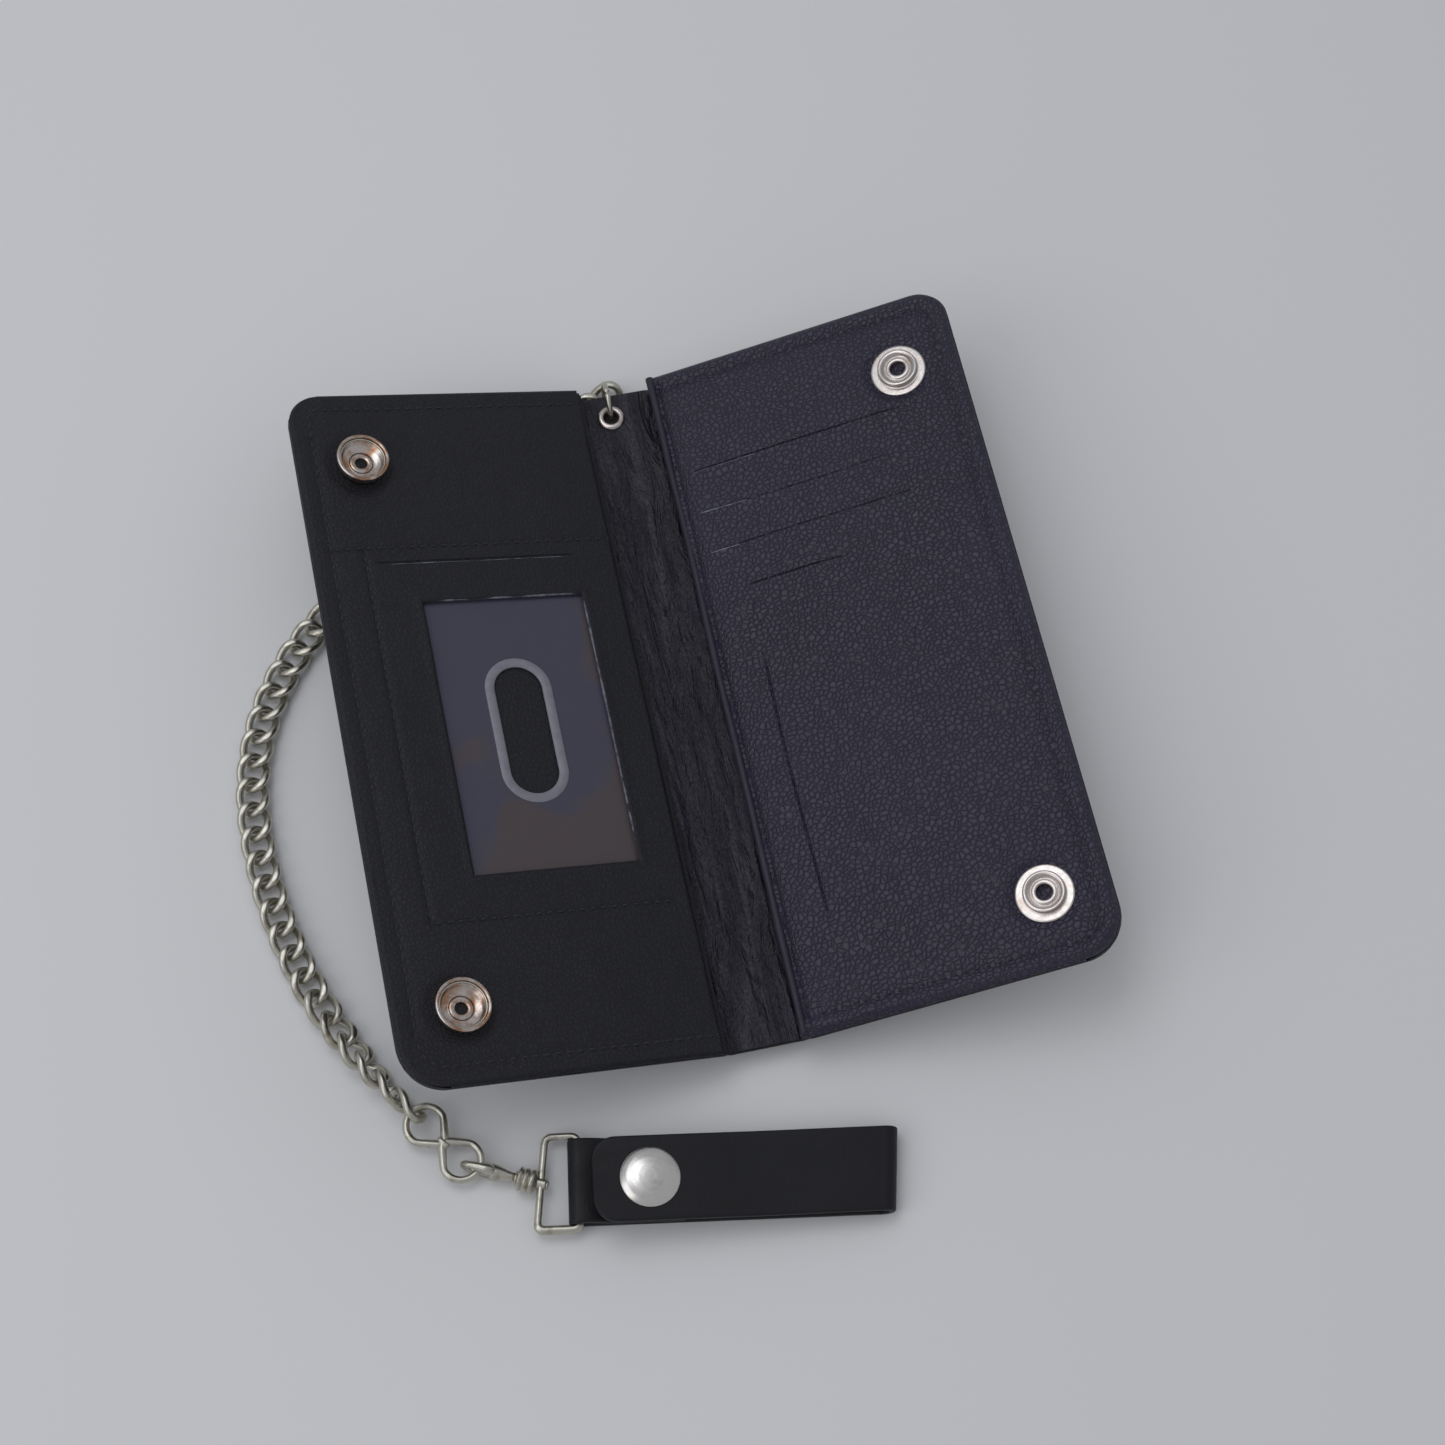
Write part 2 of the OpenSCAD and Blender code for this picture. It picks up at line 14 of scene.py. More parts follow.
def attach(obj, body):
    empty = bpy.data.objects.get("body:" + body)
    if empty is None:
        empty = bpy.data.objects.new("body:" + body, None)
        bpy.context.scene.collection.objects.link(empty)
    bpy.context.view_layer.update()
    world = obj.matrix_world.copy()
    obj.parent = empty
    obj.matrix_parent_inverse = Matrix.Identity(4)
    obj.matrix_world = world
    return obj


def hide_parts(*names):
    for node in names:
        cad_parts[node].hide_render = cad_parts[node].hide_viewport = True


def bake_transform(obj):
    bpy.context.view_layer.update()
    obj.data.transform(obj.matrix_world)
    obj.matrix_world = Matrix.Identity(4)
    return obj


MM = 0.001
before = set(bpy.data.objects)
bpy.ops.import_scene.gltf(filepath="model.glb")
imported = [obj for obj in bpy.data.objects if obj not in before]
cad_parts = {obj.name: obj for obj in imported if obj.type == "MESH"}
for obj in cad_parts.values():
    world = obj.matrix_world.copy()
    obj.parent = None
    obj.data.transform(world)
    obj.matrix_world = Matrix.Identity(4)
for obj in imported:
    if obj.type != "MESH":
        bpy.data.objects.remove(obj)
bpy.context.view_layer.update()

# ---- sizes

FOLD_X, FOLD_Z = 10.5, 6.5
COVER_BODY = {-1: "left_cover", 1: "right_cover"}
SLOPE = math.radians(15.8)
HALF_H = 92.0
COVER_W = 78.8
CORNER_TOP, CORNER_BOTTOM = 8.0, 11.0
SNAP_U, SNAP_YS = 62.8, (-74.2, 71.1)
LEFT_FACE, RIGHT_FACE = 4.45, 5.0
PANEL_BASE, PANEL_INSET = 2.9, 0.25
FACE_START = {-1: (LEFT_FACE, 1.5), 1: (RIGHT_FACE, -1.8)}
LEFT_SLOT = ("left_cover", "leather_panel_left")
RIGHT_SLOT = ("right_cover", "leather_panel_right")
WINDOW = (12.5, 53.5, -41.7, 31.3)
THUMB = (33.5, -4.6, 17.0, 39.0)
EYELET = (-3.2, 84.3)
STRAP_AT, STRAP_TURN = (-52.7, -112.9), math.radians(-9.5)
STRAP_W, STRAP_T = 20.0, 1.6
LOOP_S, LOOP_Z = 2.58, 3.08
LOOP_TOP_S, LOOP_BOTTOM_S = -5.2, -7.4
STUD_Z = 3.9
FLAP_LOW, FLAP_SLOPE, FLAP_SKEW = 8.8, math.radians(4.5), math.radians(1.2)
FLAP_SNAP_S, FLAP_HINGE_S = 19.0, 73.0
FLAP_REACH = FLAP_HINGE_S - FLAP_SNAP_S
STRAP_CAP_D = 14.2


# ---- small tools


def value_noise(x, y, seed=0.0):
    """Smooth noise from -1 to 1 at arrays x, y, whose grid spacing is 1."""
    xi, yi = np.floor(x), np.floor(y)
    fx, fy = x - xi, y - yi
    fx, fy = fx * fx * (3 - 2 * fx), fy * fy * (3 - 2 * fy)

    def lattice(a, b):
        v = np.sin(a * 127.1 + b * 311.7 + seed * 74.7) * 43758.5453
        return v - np.floor(v)

    low = lattice(xi, yi) * (1 - fx) + lattice(xi + 1, yi) * fx
    high = lattice(xi, yi + 1) * (1 - fx) + lattice(xi + 1, yi + 1) * fx
    return (low * (1 - fy) + high * fy) * 2 - 1


def ramp(x, a, b):
    """0 at a, 1 at b, smooth between."""
    t = np.clip((x - a) / (b - a), 0, 1)
    return t * t * (3 - 2 * t)


def bell(x, width):
    return np.exp(-((x / width) ** 2))


def on_cover(side, u, y, n):
    """Points of a cover in the row frame; side is +1 for the right cover and -1 for the left."""
    x = FOLD_X + u * math.cos(SLOPE) - n * math.sin(SLOPE)
    z = FOLD_Z + u * math.sin(SLOPE) + n * math.cos(SLOPE)
    return np.stack(np.broadcast_arrays(side * x, y, z), -1)


def on_strap(s, t, z):
    c, k = math.cos(STRAP_TURN), math.sin(STRAP_TURN)
    return np.stack(np.broadcast_arrays(STRAP_AT[0] + s * c - t * k, STRAP_AT[1] + s * k + t * c, z), -1)


def snap_on_strap():
    """Where the flap's press stud comes down, in the strap frame."""
    return FLAP_HINGE_S - FLAP_REACH * math.cos(FLAP_SKEW), -FLAP_REACH * math.sin(FLAP_SKEW)


def flap_matrix():
    """Places a shape drawn about the flap's press stud, with its underside at z = 0."""
    place = standing((*STRAP_AT, 0), STRAP_TURN) @ standing((FLAP_HINGE_S, 0, FLAP_LOW), FLAP_SKEW)
    return place @ Matrix.Translation((-FLAP_REACH, 0, 0)) @ Matrix.Rotation(FLAP_SLOPE, 4, "Y")


def mesh_object(name, points, faces, material, sharp=None):
    mesh = bpy.data.meshes.new(name)
    mesh.from_pydata([tuple(p) for p in np.asarray(points) * MM], [], [tuple(map(int, f)) for f in faces])
    mesh.validate()
    obj = bpy.data.objects.new(name, mesh)
    bpy.context.scene.collection.objects.link(obj)
    mesh.materials.append(material)
    mesh.shade_smooth()
    if sharp:
        mesh.set_sharp_from_angle(angle=math.radians(sharp))
    return obj


def piece(name, part, material, body, slot, *nodes, sharp=None):
    """A mesh of (points, faces) that rides on a body and takes the place of the CAD nodes named."""
    obj = mesh_object(name, *part, material, sharp)
    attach(obj, body)
    if nodes:
        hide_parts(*nodes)


def cover_piece(name, side, part, material, slot, *nodes):
    """A mesh that joins the spine to a cover, baked in place and put on no body."""
    obj = mesh_object(f"{name}_{'left' if side < 0 else 'right'}", *part, material)
    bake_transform(obj)
    if nodes:
        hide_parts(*nodes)


def grid_faces(rows, cols, wrap_rows=False, wrap_cols=False, keep=None, flip=False):
    """Quads of a grid of points stored row by row."""
    faces = []
    for j in range(rows if wrap_rows else rows - 1):
        for i in range(cols if wrap_cols else cols - 1):
            if keep is not None and not keep[j, i]:
                continue
            a, b = j * cols + i, j * cols + (i + 1) % cols
            c, d = ((j + 1) % rows) * cols + (i + 1) % cols, ((j + 1) % rows) * cols + i
            quad = [a, b, c, d]
            faces.append(quad[::-1] if flip else quad)
    return faces


def lathe(profile, steps):
    """Points and faces of a profile of (radius, height) turned about Z."""
    prof = np.array(profile, float)
    a = np.linspace(0, 2 * math.pi, steps, endpoint=False)
    pts = np.stack(
        [prof[:, None, 0] * np.cos(a), prof[:, None, 0] * np.sin(a), np.repeat(prof[:, 1][:, None], steps, 1)], -1
    )
    return sheet(pts, wrap_cols=True)


def rounded(profile, radius, cuts):
    """The same profile with its corners rounded off by small arcs."""
    p = [np.array(q, float) for q in profile]
    out = [p[0]]
    for k in range(1, len(p) - 1):
        a, b = p[k - 1] - p[k], p[k + 1] - p[k]
        r = min(radius, 0.45 * np.linalg.norm(a), 0.45 * np.linalg.norm(b))
        start, end = p[k] + a / np.linalg.norm(a) * r, p[k] + b / np.linalg.norm(b) * r
        for m in range(cuts + 1):
            w = m / cuts
            out.append((1 - w) ** 2 * start + 2 * w * (1 - w) * p[k] + w * w * end)
    out.append(p[-1])
    return out


def turned(profile, radius, cuts, steps):
    """A lathe shape of a profile with its corners rounded."""
    return lathe(rounded(profile, radius, cuts), steps)


def sheet(grid, **how):
    """Points and faces of a rows by columns grid of points."""
    return grid.reshape(-1, 3), grid_faces(*grid.shape[:2], **how)


def joined(parts):
    """Several (points, faces) as one."""
    pts, faces, base = [], [], 0
    for p, f in parts:
        p = np.asarray(p)
        pts.append(p)
        faces += [[base + int(v) for v in q] for q in f]
        base += len(p)
    return np.concatenate(pts), faces


def moved(part, matrix):
    pts, faces = part
    m = np.array(matrix)
    return pts @ m[:3, :3].T + m[:3, 3], faces


def tube(path, radius, sides, closed=False):
    """A round wire along a path; radius may be one value or one per point."""
    path = np.asarray(path, float)
    n = len(path)
    radius = np.broadcast_to(np.asarray(radius, float), (n,))
    if closed:
        tangent = np.roll(path, -1, 0) - np.roll(path, 1, 0)
    else:
        tangent = np.gradient(path, axis=0)
    tangent /= np.linalg.norm(tangent, axis=1)[:, None]
    up = np.array([0, 0, 1.0])
    if abs(tangent[0] @ up) > 0.9:
        up = np.array([0, 1.0, 0])
    out = np.cross(tangent, up)
    out /= np.linalg.norm(out, axis=1)[:, None] + 1e-12
    top = np.cross(out, tangent)
    a = np.linspace(0, 2 * math.pi, sides, endpoint=False)
    ring = out[:, None] * np.cos(a)[None, :, None] + top[:, None] * np.sin(a)[None, :, None]
    pts = path[:, None] + ring * radius[:, None, None]
    faces = grid_faces(n, sides, wrap_rows=closed, wrap_cols=True)
    if not closed:
        faces.append(list(range(sides))[::-1])
        faces.append([(n - 1) * sides + k for k in range(sides)])
    return pts.reshape(-1, 3), faces


def rod(x, radius, sides):
    """A round bar along X."""
    x = np.asarray(x, float)
    return tube(np.stack([x, 0 * x, 0 * x], -1), radius, sides)


def standing(at, turn=0.0):
    """Places a shape at a point, turned about the vertical."""
    return Matrix.Translation(tuple(at)) @ Matrix.Rotation(turn, 4, "Z")


# ---- materials


class Nodes:
    """Short calls for building one material's node tree."""

    def __init__(self, name):
        self.material = bpy.data.materials.new(name)
        self.material.use_nodes = True
        self.tree = self.material.node_tree
        self.shader = self.tree.nodes["Principled BSDF"]
        self.coords = self.tree.nodes.new("ShaderNodeTexCoord").outputs["Object"]

    def link(self, a, b):
        self.tree.links.new(a, b)
        return b

    def put(self, value, target):
        """A socket is linked; a colour or a number is set on the target itself."""
        if isinstance(value, bpy.types.NodeSocket):
            self.link(value, target)
        elif isinstance(value, tuple) and len(target.default_value) == 4:
            target.default_value = (*value, 1.0)
        else:
            target.default_value = value

    def node(self, kind, feature=None, **inputs):
        made = self.tree.nodes.new(kind)
        if feature:
            made.feature = feature
        for key, value in inputs.items():
            self.put(value, made.inputs[key.replace("_", " ")])
        return made

    def noise(self, scale, detail=3.0, rough=0.55, stretch=None, distortion=0.0):
        made = self.node("ShaderNodeTexNoise", Scale=scale, Detail=detail, Roughness=rough, Distortion=distortion)
        self.link(self.placed(stretch), made.inputs["Vector"])
        return made.outputs["Fac"]

    def voronoi(self, scale, feature, vector):
        made = self.node("ShaderNodeTexVoronoi", feature=feature, Scale=scale, Vector=vector)
        return made.outputs["Distance"]

    def placed(self, stretch):
        if stretch is None:
            return self.coords
        return self.node("ShaderNodeMapping", Vector=self.coords, Scale=stretch).outputs["Vector"]

    def warped(self, scale, amount):
        """The object's own coordinates, pushed about a little by noise."""
        made = self.node("ShaderNodeTexNoise", Scale=scale, Detail=2.0, Vector=self.coords)
        push = self.tree.nodes.new("ShaderNodeVectorMath")
        push.operation = "MULTIPLY_ADD"
        for value, target in zip((made.outputs["Color"], (amount,) * 3, self.coords), push.inputs):
            self.put(value, target)
        return push.outputs[0]

    def math(self, op, a, b=None, clamp=False):
        made = self.tree.nodes.new("ShaderNodeMath")
        made.operation = op
        made.use_clamp = clamp
        for k, v in enumerate((a, b)):
            if v is not None:
                self.put(v, made.inputs[k])
        return made.outputs[0]

    def remap(self, value, a, b, c, d):
        made = self.tree.nodes.new("ShaderNodeMapRange")
        self.link(value, made.inputs["Value"])
        for key, v in zip(("From Min", "From Max", "To Min", "To Max"), (a, b, c, d)):
            made.inputs[key].default_value = v
        return made.outputs[0]

    def mix(self, fac, a, b):
        made = self.tree.nodes.new("ShaderNodeMix")
        made.data_type = "RGBA"
        for k, v in ((0, fac), (6, a), (7, b)):
            self.put(v, made.inputs[k])
        return made.outputs[2]

    def bump(self, height, strength, distance, normal=None):
        made = self.node("ShaderNodeBump", Strength=strength, Distance=distance)
        self.link(height, made.inputs["Height"])
        if normal is not None:
            self.link(normal, made.inputs["Normal"])
        return made.outputs[0]

    def set(self, **inputs):
        for key, value in inputs.items():
            self.put(value, self.shader.inputs[key.replace("_", " ")])
        return self.material


def pebbled_leather(name, dark, light, pitch, depth, rough, specular, crease=0.0):
    """Grained cowhide: rounded pebbles with lighter tops and darker valleys painted into the colour as light and shade,
    coarser wrinkles and uneven dye.
    """
    n = Nodes(name)
    warp = n.warped(220.0, 0.0009)
    cells = n.voronoi(1.0 / pitch, "DISTANCE_TO_EDGE", warp)
    fine = n.voronoi(2.6 / pitch, "F1", warp)
    wrinkle = n.noise(70.0, 4.0, 0.6)
    patches = n.noise(22.0, 3.0, 0.5)
    pebble = n.math("POWER", n.remap(cells, 0.0, 0.3, 0.0, 1.0), 0.55)
    height = n.math("ADD", n.math("MULTIPLY", pebble, 0.9), n.math("MULTIPLY", fine, -0.12))
    normal = n.bump(height, depth, 0.00021)
    normal = n.bump(wrinkle, 0.3, 0.001, normal)
    if crease:
        folds = n.noise(55.0, 5.0, 0.65, stretch=(3.4, 0.7, 1.0), distortion=1.2)
        normal = n.bump(folds, crease, 0.004, normal)
    # Colour: the pebble term paints light on the pebble tops and shade in the valleys between them; the patches are
    # uneven dye.
    valley_shade_and_dye = n.math("ADD", n.math("MULTIPLY", pebble, 0.6), n.math("MULTIPLY", patches, 0.55), clamp=True)
    colour = n.mix(valley_shade_and_dye, dark, light)
    shine = n.math("ADD", n.math("MULTIPLY", wrinkle, 0.4), n.math("MULTIPLY", patches, 0.6))
    return n.set(
        Base_Color=colour, Roughness=n.remap(shine, 0.25, 0.75, *rough), Normal=normal, Specular_IOR_Level=specular,
    )


def smooth_leather(name, dark, light, rough):
    """Strap leather: nearly smooth, with a fine pore grain and faint rub marks."""
    n = Nodes(name)
    pores = n.voronoi(2600.0, "F1", n.warped(300.0, 0.001))
    cloud = n.noise(60.0, 4.0, 0.6)
    streak = n.noise(90.0, 3.0, 0.6, stretch=(0.4, 3.0, 1.0))
    normal = n.bump(pores, 0.3, 0.00012)
    normal = n.bump(cloud, 0.25, 0.0008, normal)
    return n.set(
        Base_Color=n.mix(cloud, dark, light), Roughness=n.remap(streak, 0.3, 0.7, *rough), Normal=normal,
        Specular_IOR_Level=0.3,
    )


def plated_metal(name, colour, warm, rough, warm_share=(0.52, 0.7), bump=0.1):
    """Worn plate: patches where the warm undercoat shows, smears and fine pits."""
    n = Nodes(name)
    wear = n.noise(260.0, 4.0, 0.6, distortion=0.4)
    smear = n.noise(700.0, 3.0, 0.6)
    fac = n.remap(wear, *warm_share, 0.0, 1.0)
    normal = n.bump(n.noise(2400.0, 2.0, 0.5), bump, 0.00008)
    return n.set(
        Base_Color=n.mix(fac, colour, warm), Metallic=1.0, Roughness=n.remap(smear, 0.3, 0.7, *rough), Normal=normal,
    )


def thread_material():
    n = Nodes("black thread")
    twist = n.noise(3000.0, 2.0, 0.5)
    return n.set(
        Base_Color=n.mix(twist, (0.006, 0.006, 0.009), (0.02, 0.02, 0.026)), Roughness=0.6,
        Normal=n.bump(twist, 0.5, 0.0001), Sheen_Weight=0.1,
    )


def vinyl_material():
    """Clear sheet gone slightly milky, with brownish patches where it clings to what is behind."""
    n = Nodes("clear vinyl")
    split = n.node("ShaderNodeSeparateXYZ", Vector=n.coords)
    cloud = n.noise(34.0, 3.0, 0.5, distortion=0.5)
    # More of it clings towards the spine and towards the lower end.
    across = n.remap(split.outputs[0], -0.062, -0.022, -0.1, 0.12)
    lean = n.math("ADD", across, n.remap(split.outputs[1], -0.04, 0.03, 0.12, -0.1))
    cling = n.remap(n.math("ADD", cloud, lean), 0.5, 0.59, 0.0, 1.0)
    ripple = n.noise(60.0, 2.0, 0.5)
    n.set(
        Base_Color=n.mix(cling, (0.076, 0.075, 0.112), (0.095, 0.076, 0.08)),
        Roughness=n.remap(cling, 0.0, 1.0, 0.3, 0.42), Normal=n.bump(ripple, 0.2, 0.002), Specular_IOR_Level=0.35,
    )
    n.shader.inputs["Alpha"].default_value = 0.9
    return n.material


def mottled(name, scale, dark, light, rough, bump, height, specular=0.5, spread=(0.0, 1.0)):
    """One noise that drives both the colour and the bump."""
    n = Nodes(name)
    fleck = n.noise(*scale)
    shade = fleck if spread == (0.0, 1.0) else n.remap(fleck, *spread, 0.0, 1.0)
    return n.set(
        Base_Color=n.mix(shade, dark, light), Roughness=rough, Normal=n.bump(fleck, bump, height),
        Specular_IOR_Level=specular,
    )


def woven_material():
    n = Nodes("woven lining")
    warp = n.node("ShaderNodeTexWave", Scale=900.0, Vector=n.coords)
    return n.set(
        Base_Color=n.mix(warp.outputs["Fac"], (0.006, 0.006, 0.008), (0.016, 0.016, 0.02)), Roughness=0.85,
        Normal=n.bump(warp.outputs["Fac"], 0.4, 0.0002),
    )


RIGHT_LEATHER = pebbled_leather(
    "panel leather right", (0.007, 0.0055, 0.016), (0.03, 0.026, 0.054), 0.00135, 1.0, (0.36, 0.48), 0.45)
LEFT_LEATHER = pebbled_leather(
    "panel leather left", (0.004, 0.004, 0.006), (0.014, 0.014, 0.02), 0.0012, 0.5, (0.46, 0.6), 0.34)
OUTER_LEATHER = pebbled_leather(
    "outer leather", (0.005, 0.005, 0.007), (0.017, 0.016, 0.023), 0.0013, 0.8, (0.45, 0.6), 0.32)
SPINE_LEATHER = pebbled_leather(
    "spine lining leather", (0.006, 0.0055, 0.01), (0.026, 0.024, 0.038), 0.0014, 0.35, (0.38, 0.52), 0.4, crease=0.7)
ROLL_LEATHER = smooth_leather("rolled edge leather", (0.016, 0.014, 0.024), (0.04, 0.037, 0.058), (0.36, 0.5))
STRAP_LEATHER = smooth_leather("strap leather", (0.005, 0.005, 0.007), (0.01, 0.0095, 0.014), (0.42, 0.55))
SOCKET_METAL = plated_metal("socket plate", (0.64, 0.58, 0.54), (0.42, 0.24, 0.15), (0.2, 0.36), (0.42, 0.6))
SNAP_METAL = plated_metal("stud plate", (0.6, 0.55, 0.525), (0.5, 0.38, 0.3), (0.22, 0.36), (0.55, 0.75))
CAP_METAL = plated_metal("cap plate", (0.72, 0.7, 0.68), (0.6, 0.56, 0.52), (0.24, 0.34), (0.55, 0.8), 0.04)
CHAIN_METAL = plated_metal("chain nickel", (0.56, 0.54, 0.47), (0.36, 0.33, 0.26), (0.28, 0.42))
# Pale edging: a painted highlight standing in for the light that the window's edges and the pocket lips catch.
PAINTED_EDGE_HIGHLIGHT = mottled(
    "painted edge highlight", (420.0, 4.0, 0.65), (0.05, 0.05, 0.065), (0.2, 0.2, 0.25), 0.5, 0.3, 0.0002, 0.4, (0.35, 0.65))
BOARD = mottled(
    "stiffening board", (900.0, 4.0, 0.7), (0.16, 0.12, 0.08), (0.33, 0.27, 0.2), 0.9, 0.4, 0.0002)
THREAD = thread_material()
VINYL = vinyl_material()
FROSTED = mottled(
    "frosted vinyl", (500.0, 3.0, 0.6), (0.17, 0.17, 0.2), (0.28, 0.28, 0.32), 0.45, 0.3, 0.0003, 0.4)
WOVEN = woven_material()


# ---- cover panels


def outline(inset):
    """Half height, width and the two corner radii of a cover's outline drawn in by inset."""
    return HALF_H - inset, COVER_W - inset, CORNER_TOP - inset, CORNER_BOTTOM - inset


def outer_end(y, inset=0.0):
    """Distance from the fold line to the cover's outer edge, which turns in at the two corners."""
    half, right, rt, rb = outline(inset)
    over_top = np.clip(y - (half - rt), 0, rt)
    over_low = np.clip((rb - half) - y, 0, rb)
    return np.minimum(right - rt + np.sqrt(rt**2 - over_top**2), right - rb + np.sqrt(rb**2 - over_low**2))


def edge_distance(u, y, start, inset=0.0):
    """How far inside the outline a point is, and how far it is from the inner edge."""
    half, right, rt, rb = outline(inset)
    d = np.minimum(right - u, half - np.abs(y))
    cu, cy = u - (right - rt), y - (half - rt)
    d = np.where((cu > 0) & (cy > 0), rt - np.hypot(cu, cy), d)
    cu, cy = u - (right - rb), (rb - half) - y
    d = np.where((cu > 0) & (cy > 0), rb - np.hypot(cu, cy), d)
    return np.maximum(d, 0), u - start


def spaced(lo, hi, step, marks=(), ends=1.8):
    """Grid stations from lo to hi, closer together at both ends and round each mark."""
    stations, fine, reach = [lo], 0.16, 0.9
    while stations[-1] < hi:
        x = stations[-1]
        gap = step
        near = min([abs(x - m) for m in marks] + [1e9])
        if near < reach:
            gap = fine
        elif near < reach + 2 * step:
            gap = min(step, fine * 2)
        if x - lo < ends or hi - x < ends:
            gap = min(gap, 0.22)
        stations.append(x + gap)
    stations[-1] = hi
    return np.array(stations)


def panel(side, relief, us, ys, round_r, hole=None):
    """A leather layer with a relief on top, a rounded edge all round and an open underside rim."""
    face, start = FACE_START[side]
    ends = outer_end(ys, PANEL_INSET)
    right = COVER_W - PANEL_INSET
    flat_to = right - CORNER_BOTTOM
    share = (ends[:, None] - flat_to) / (right - flat_to)
    u = np.where(us[None] <= flat_to, us[None], flat_to + (us[None] - flat_to) * share)
    y = np.repeat(ys[:, None], len(us), 1)
    d, d_in = edge_distance(u, y, start, PANEL_INSET)
    near = np.minimum(d, d_in)
    drop = round_r - np.sqrt(np.maximum(round_r**2 - np.maximum(round_r - near, 0) ** 2, 0))
    n = face + relief(u, y, d, d_in) * ramp(near, 0, 1.2) - drop
    top = on_cover(side, u, y, n)
    keep = None
    if hole is not None:
        mu, my = (us[None, 1:] + us[None, :-1]) / 2, (ys[1:, None] + ys[:-1, None]) / 2
        keep = ~((mu > hole[0]) & (mu < hole[1]) & (my > hole[2]) & (my < hole[3]))
    rows, cols = len(ys), len(us)
    flip = side < 0
    faces = grid_faces(rows, cols, keep=keep, flip=flip)
    rim = [(0, i) for i in range(cols)] + [(j, cols - 1) for j in range(1, rows)]
    rim += [(rows - 1, i) for i in range(cols - 2, -1, -1)] + [(j, 0) for j in range(rows - 2, 0, -1)]
    ru, ry, rn = (np.array([values[k] for k in rim]) for values in (u, y, n))
    points = [top.reshape(-1, 3)]
    loops = [[j * cols + i for j, i in rim]]
    base = rows * cols
    pull = round_r * 0.5
    for level, inward in ((0.5, 0.0), (1.0, 0.25), (1.0, 6.0)):
        nn = rn + (PANEL_BASE - rn) * level
        du, dy = 40 - ru, -ry
        away = np.maximum(np.hypot(du, dy), 1e-6)
        uu, yy = ru + du / away * inward * pull, ry + dy / away * inward * pull
        points.append(on_cover(side, uu, yy, nn))
        loops.append(list(range(base, base + len(rim))))
        base += len(rim)
    for a, b in zip(loops, loops[1:]):
        for i in range(len(rim)):
            i2 = (i + 1) % len(rim)
            quad = [a[i2], a[i], b[i], b[i2]]
            faces.append(quad[::-1] if flip else quad)
    return np.concatenate(points), faces


def sewn(along, across, depth=0.2):
    """A stitch line: a groove across it, pulled deeper at each needle hole along it."""
    width = 0.7
    hole = 0.5 + 0.5 * np.cos(2 * math.pi * along / STITCH)
    return -(depth * bell(across, width * 1.5) + 0.2 * hole * bell(across, width * 0.6))


def beside_snaps(u, y):
    """0 under a press stud's flange and 1 a little outside it, so that the stud sits flat on the leather."""
    clear = 1.0
    for sy in SNAP_YS:
        clear = clear * ramp(np.hypot(u - SNAP_U, y - sy), 7.2, 9.6)
    return clear


def slit(u, y, at, u0, u1, lift=0.35, gape=0.6, fade=4.0, bow=0.0):
    """A pocket mouth along u: a narrow dark gap, its lower lip raised and its upper side pressed down."""
    line = at + bow * np.sin(np.clip((u - u0) / (u1 - u0), 0, 1) * math.pi)
    a = ramp(u, u0, u0 + fade) * (1 - ramp(u, u1 - fade, u1))
    v = y - line
    below = np.where(v < 0, np.exp(np.minimum(v, 0) / 3.0), 0)
    above = np.where(v >= 0, np.exp(-np.maximum(v, 0) / 2.2), 0)
    return a * (lift * below - 0.5 * lift * above - gape * bell(v, 0.22))


STITCH = 2.7
SEW_IN = 4.4


def left_relief(u, y, d, d_in):
    h = 0.35 * (1 - np.exp(-((d / 8) ** 2))) + 0.22 * value_noise(u / 17, y / 21, 3)
    h += 0.06 * value_noise(u / 5, y / 4, 8)
    h += np.where(u < 70, sewn(u, d - SEW_IN), 0) * (np.abs(y) > 80)
    h += sewn(y, d - SEW_IN) * (np.abs(y) <= 80)
    h += sewn(u, y - 47) * (u > 2) * (u < 75)
    h += sewn(u, y + 52.8) * (u > 5) * (u < 66.5)
    h += sewn(y, u - 66) * (y > -53) * (y < 47)
    h += slit(u, y, 42.7, 11, 65, 0.16, 0.45)
    frame_d = np.maximum(np.maximum(WINDOW[0] - u, u - WINDOW[1]), np.maximum(WINDOW[2] - y, y - WINDOW[3]))
    h += 0.15 * bell(frame_d - 1.0, 1.0) - 0.3 * bell(np.maximum(frame_d, 0), 0.35)
    return h * beside_snaps(u, y)


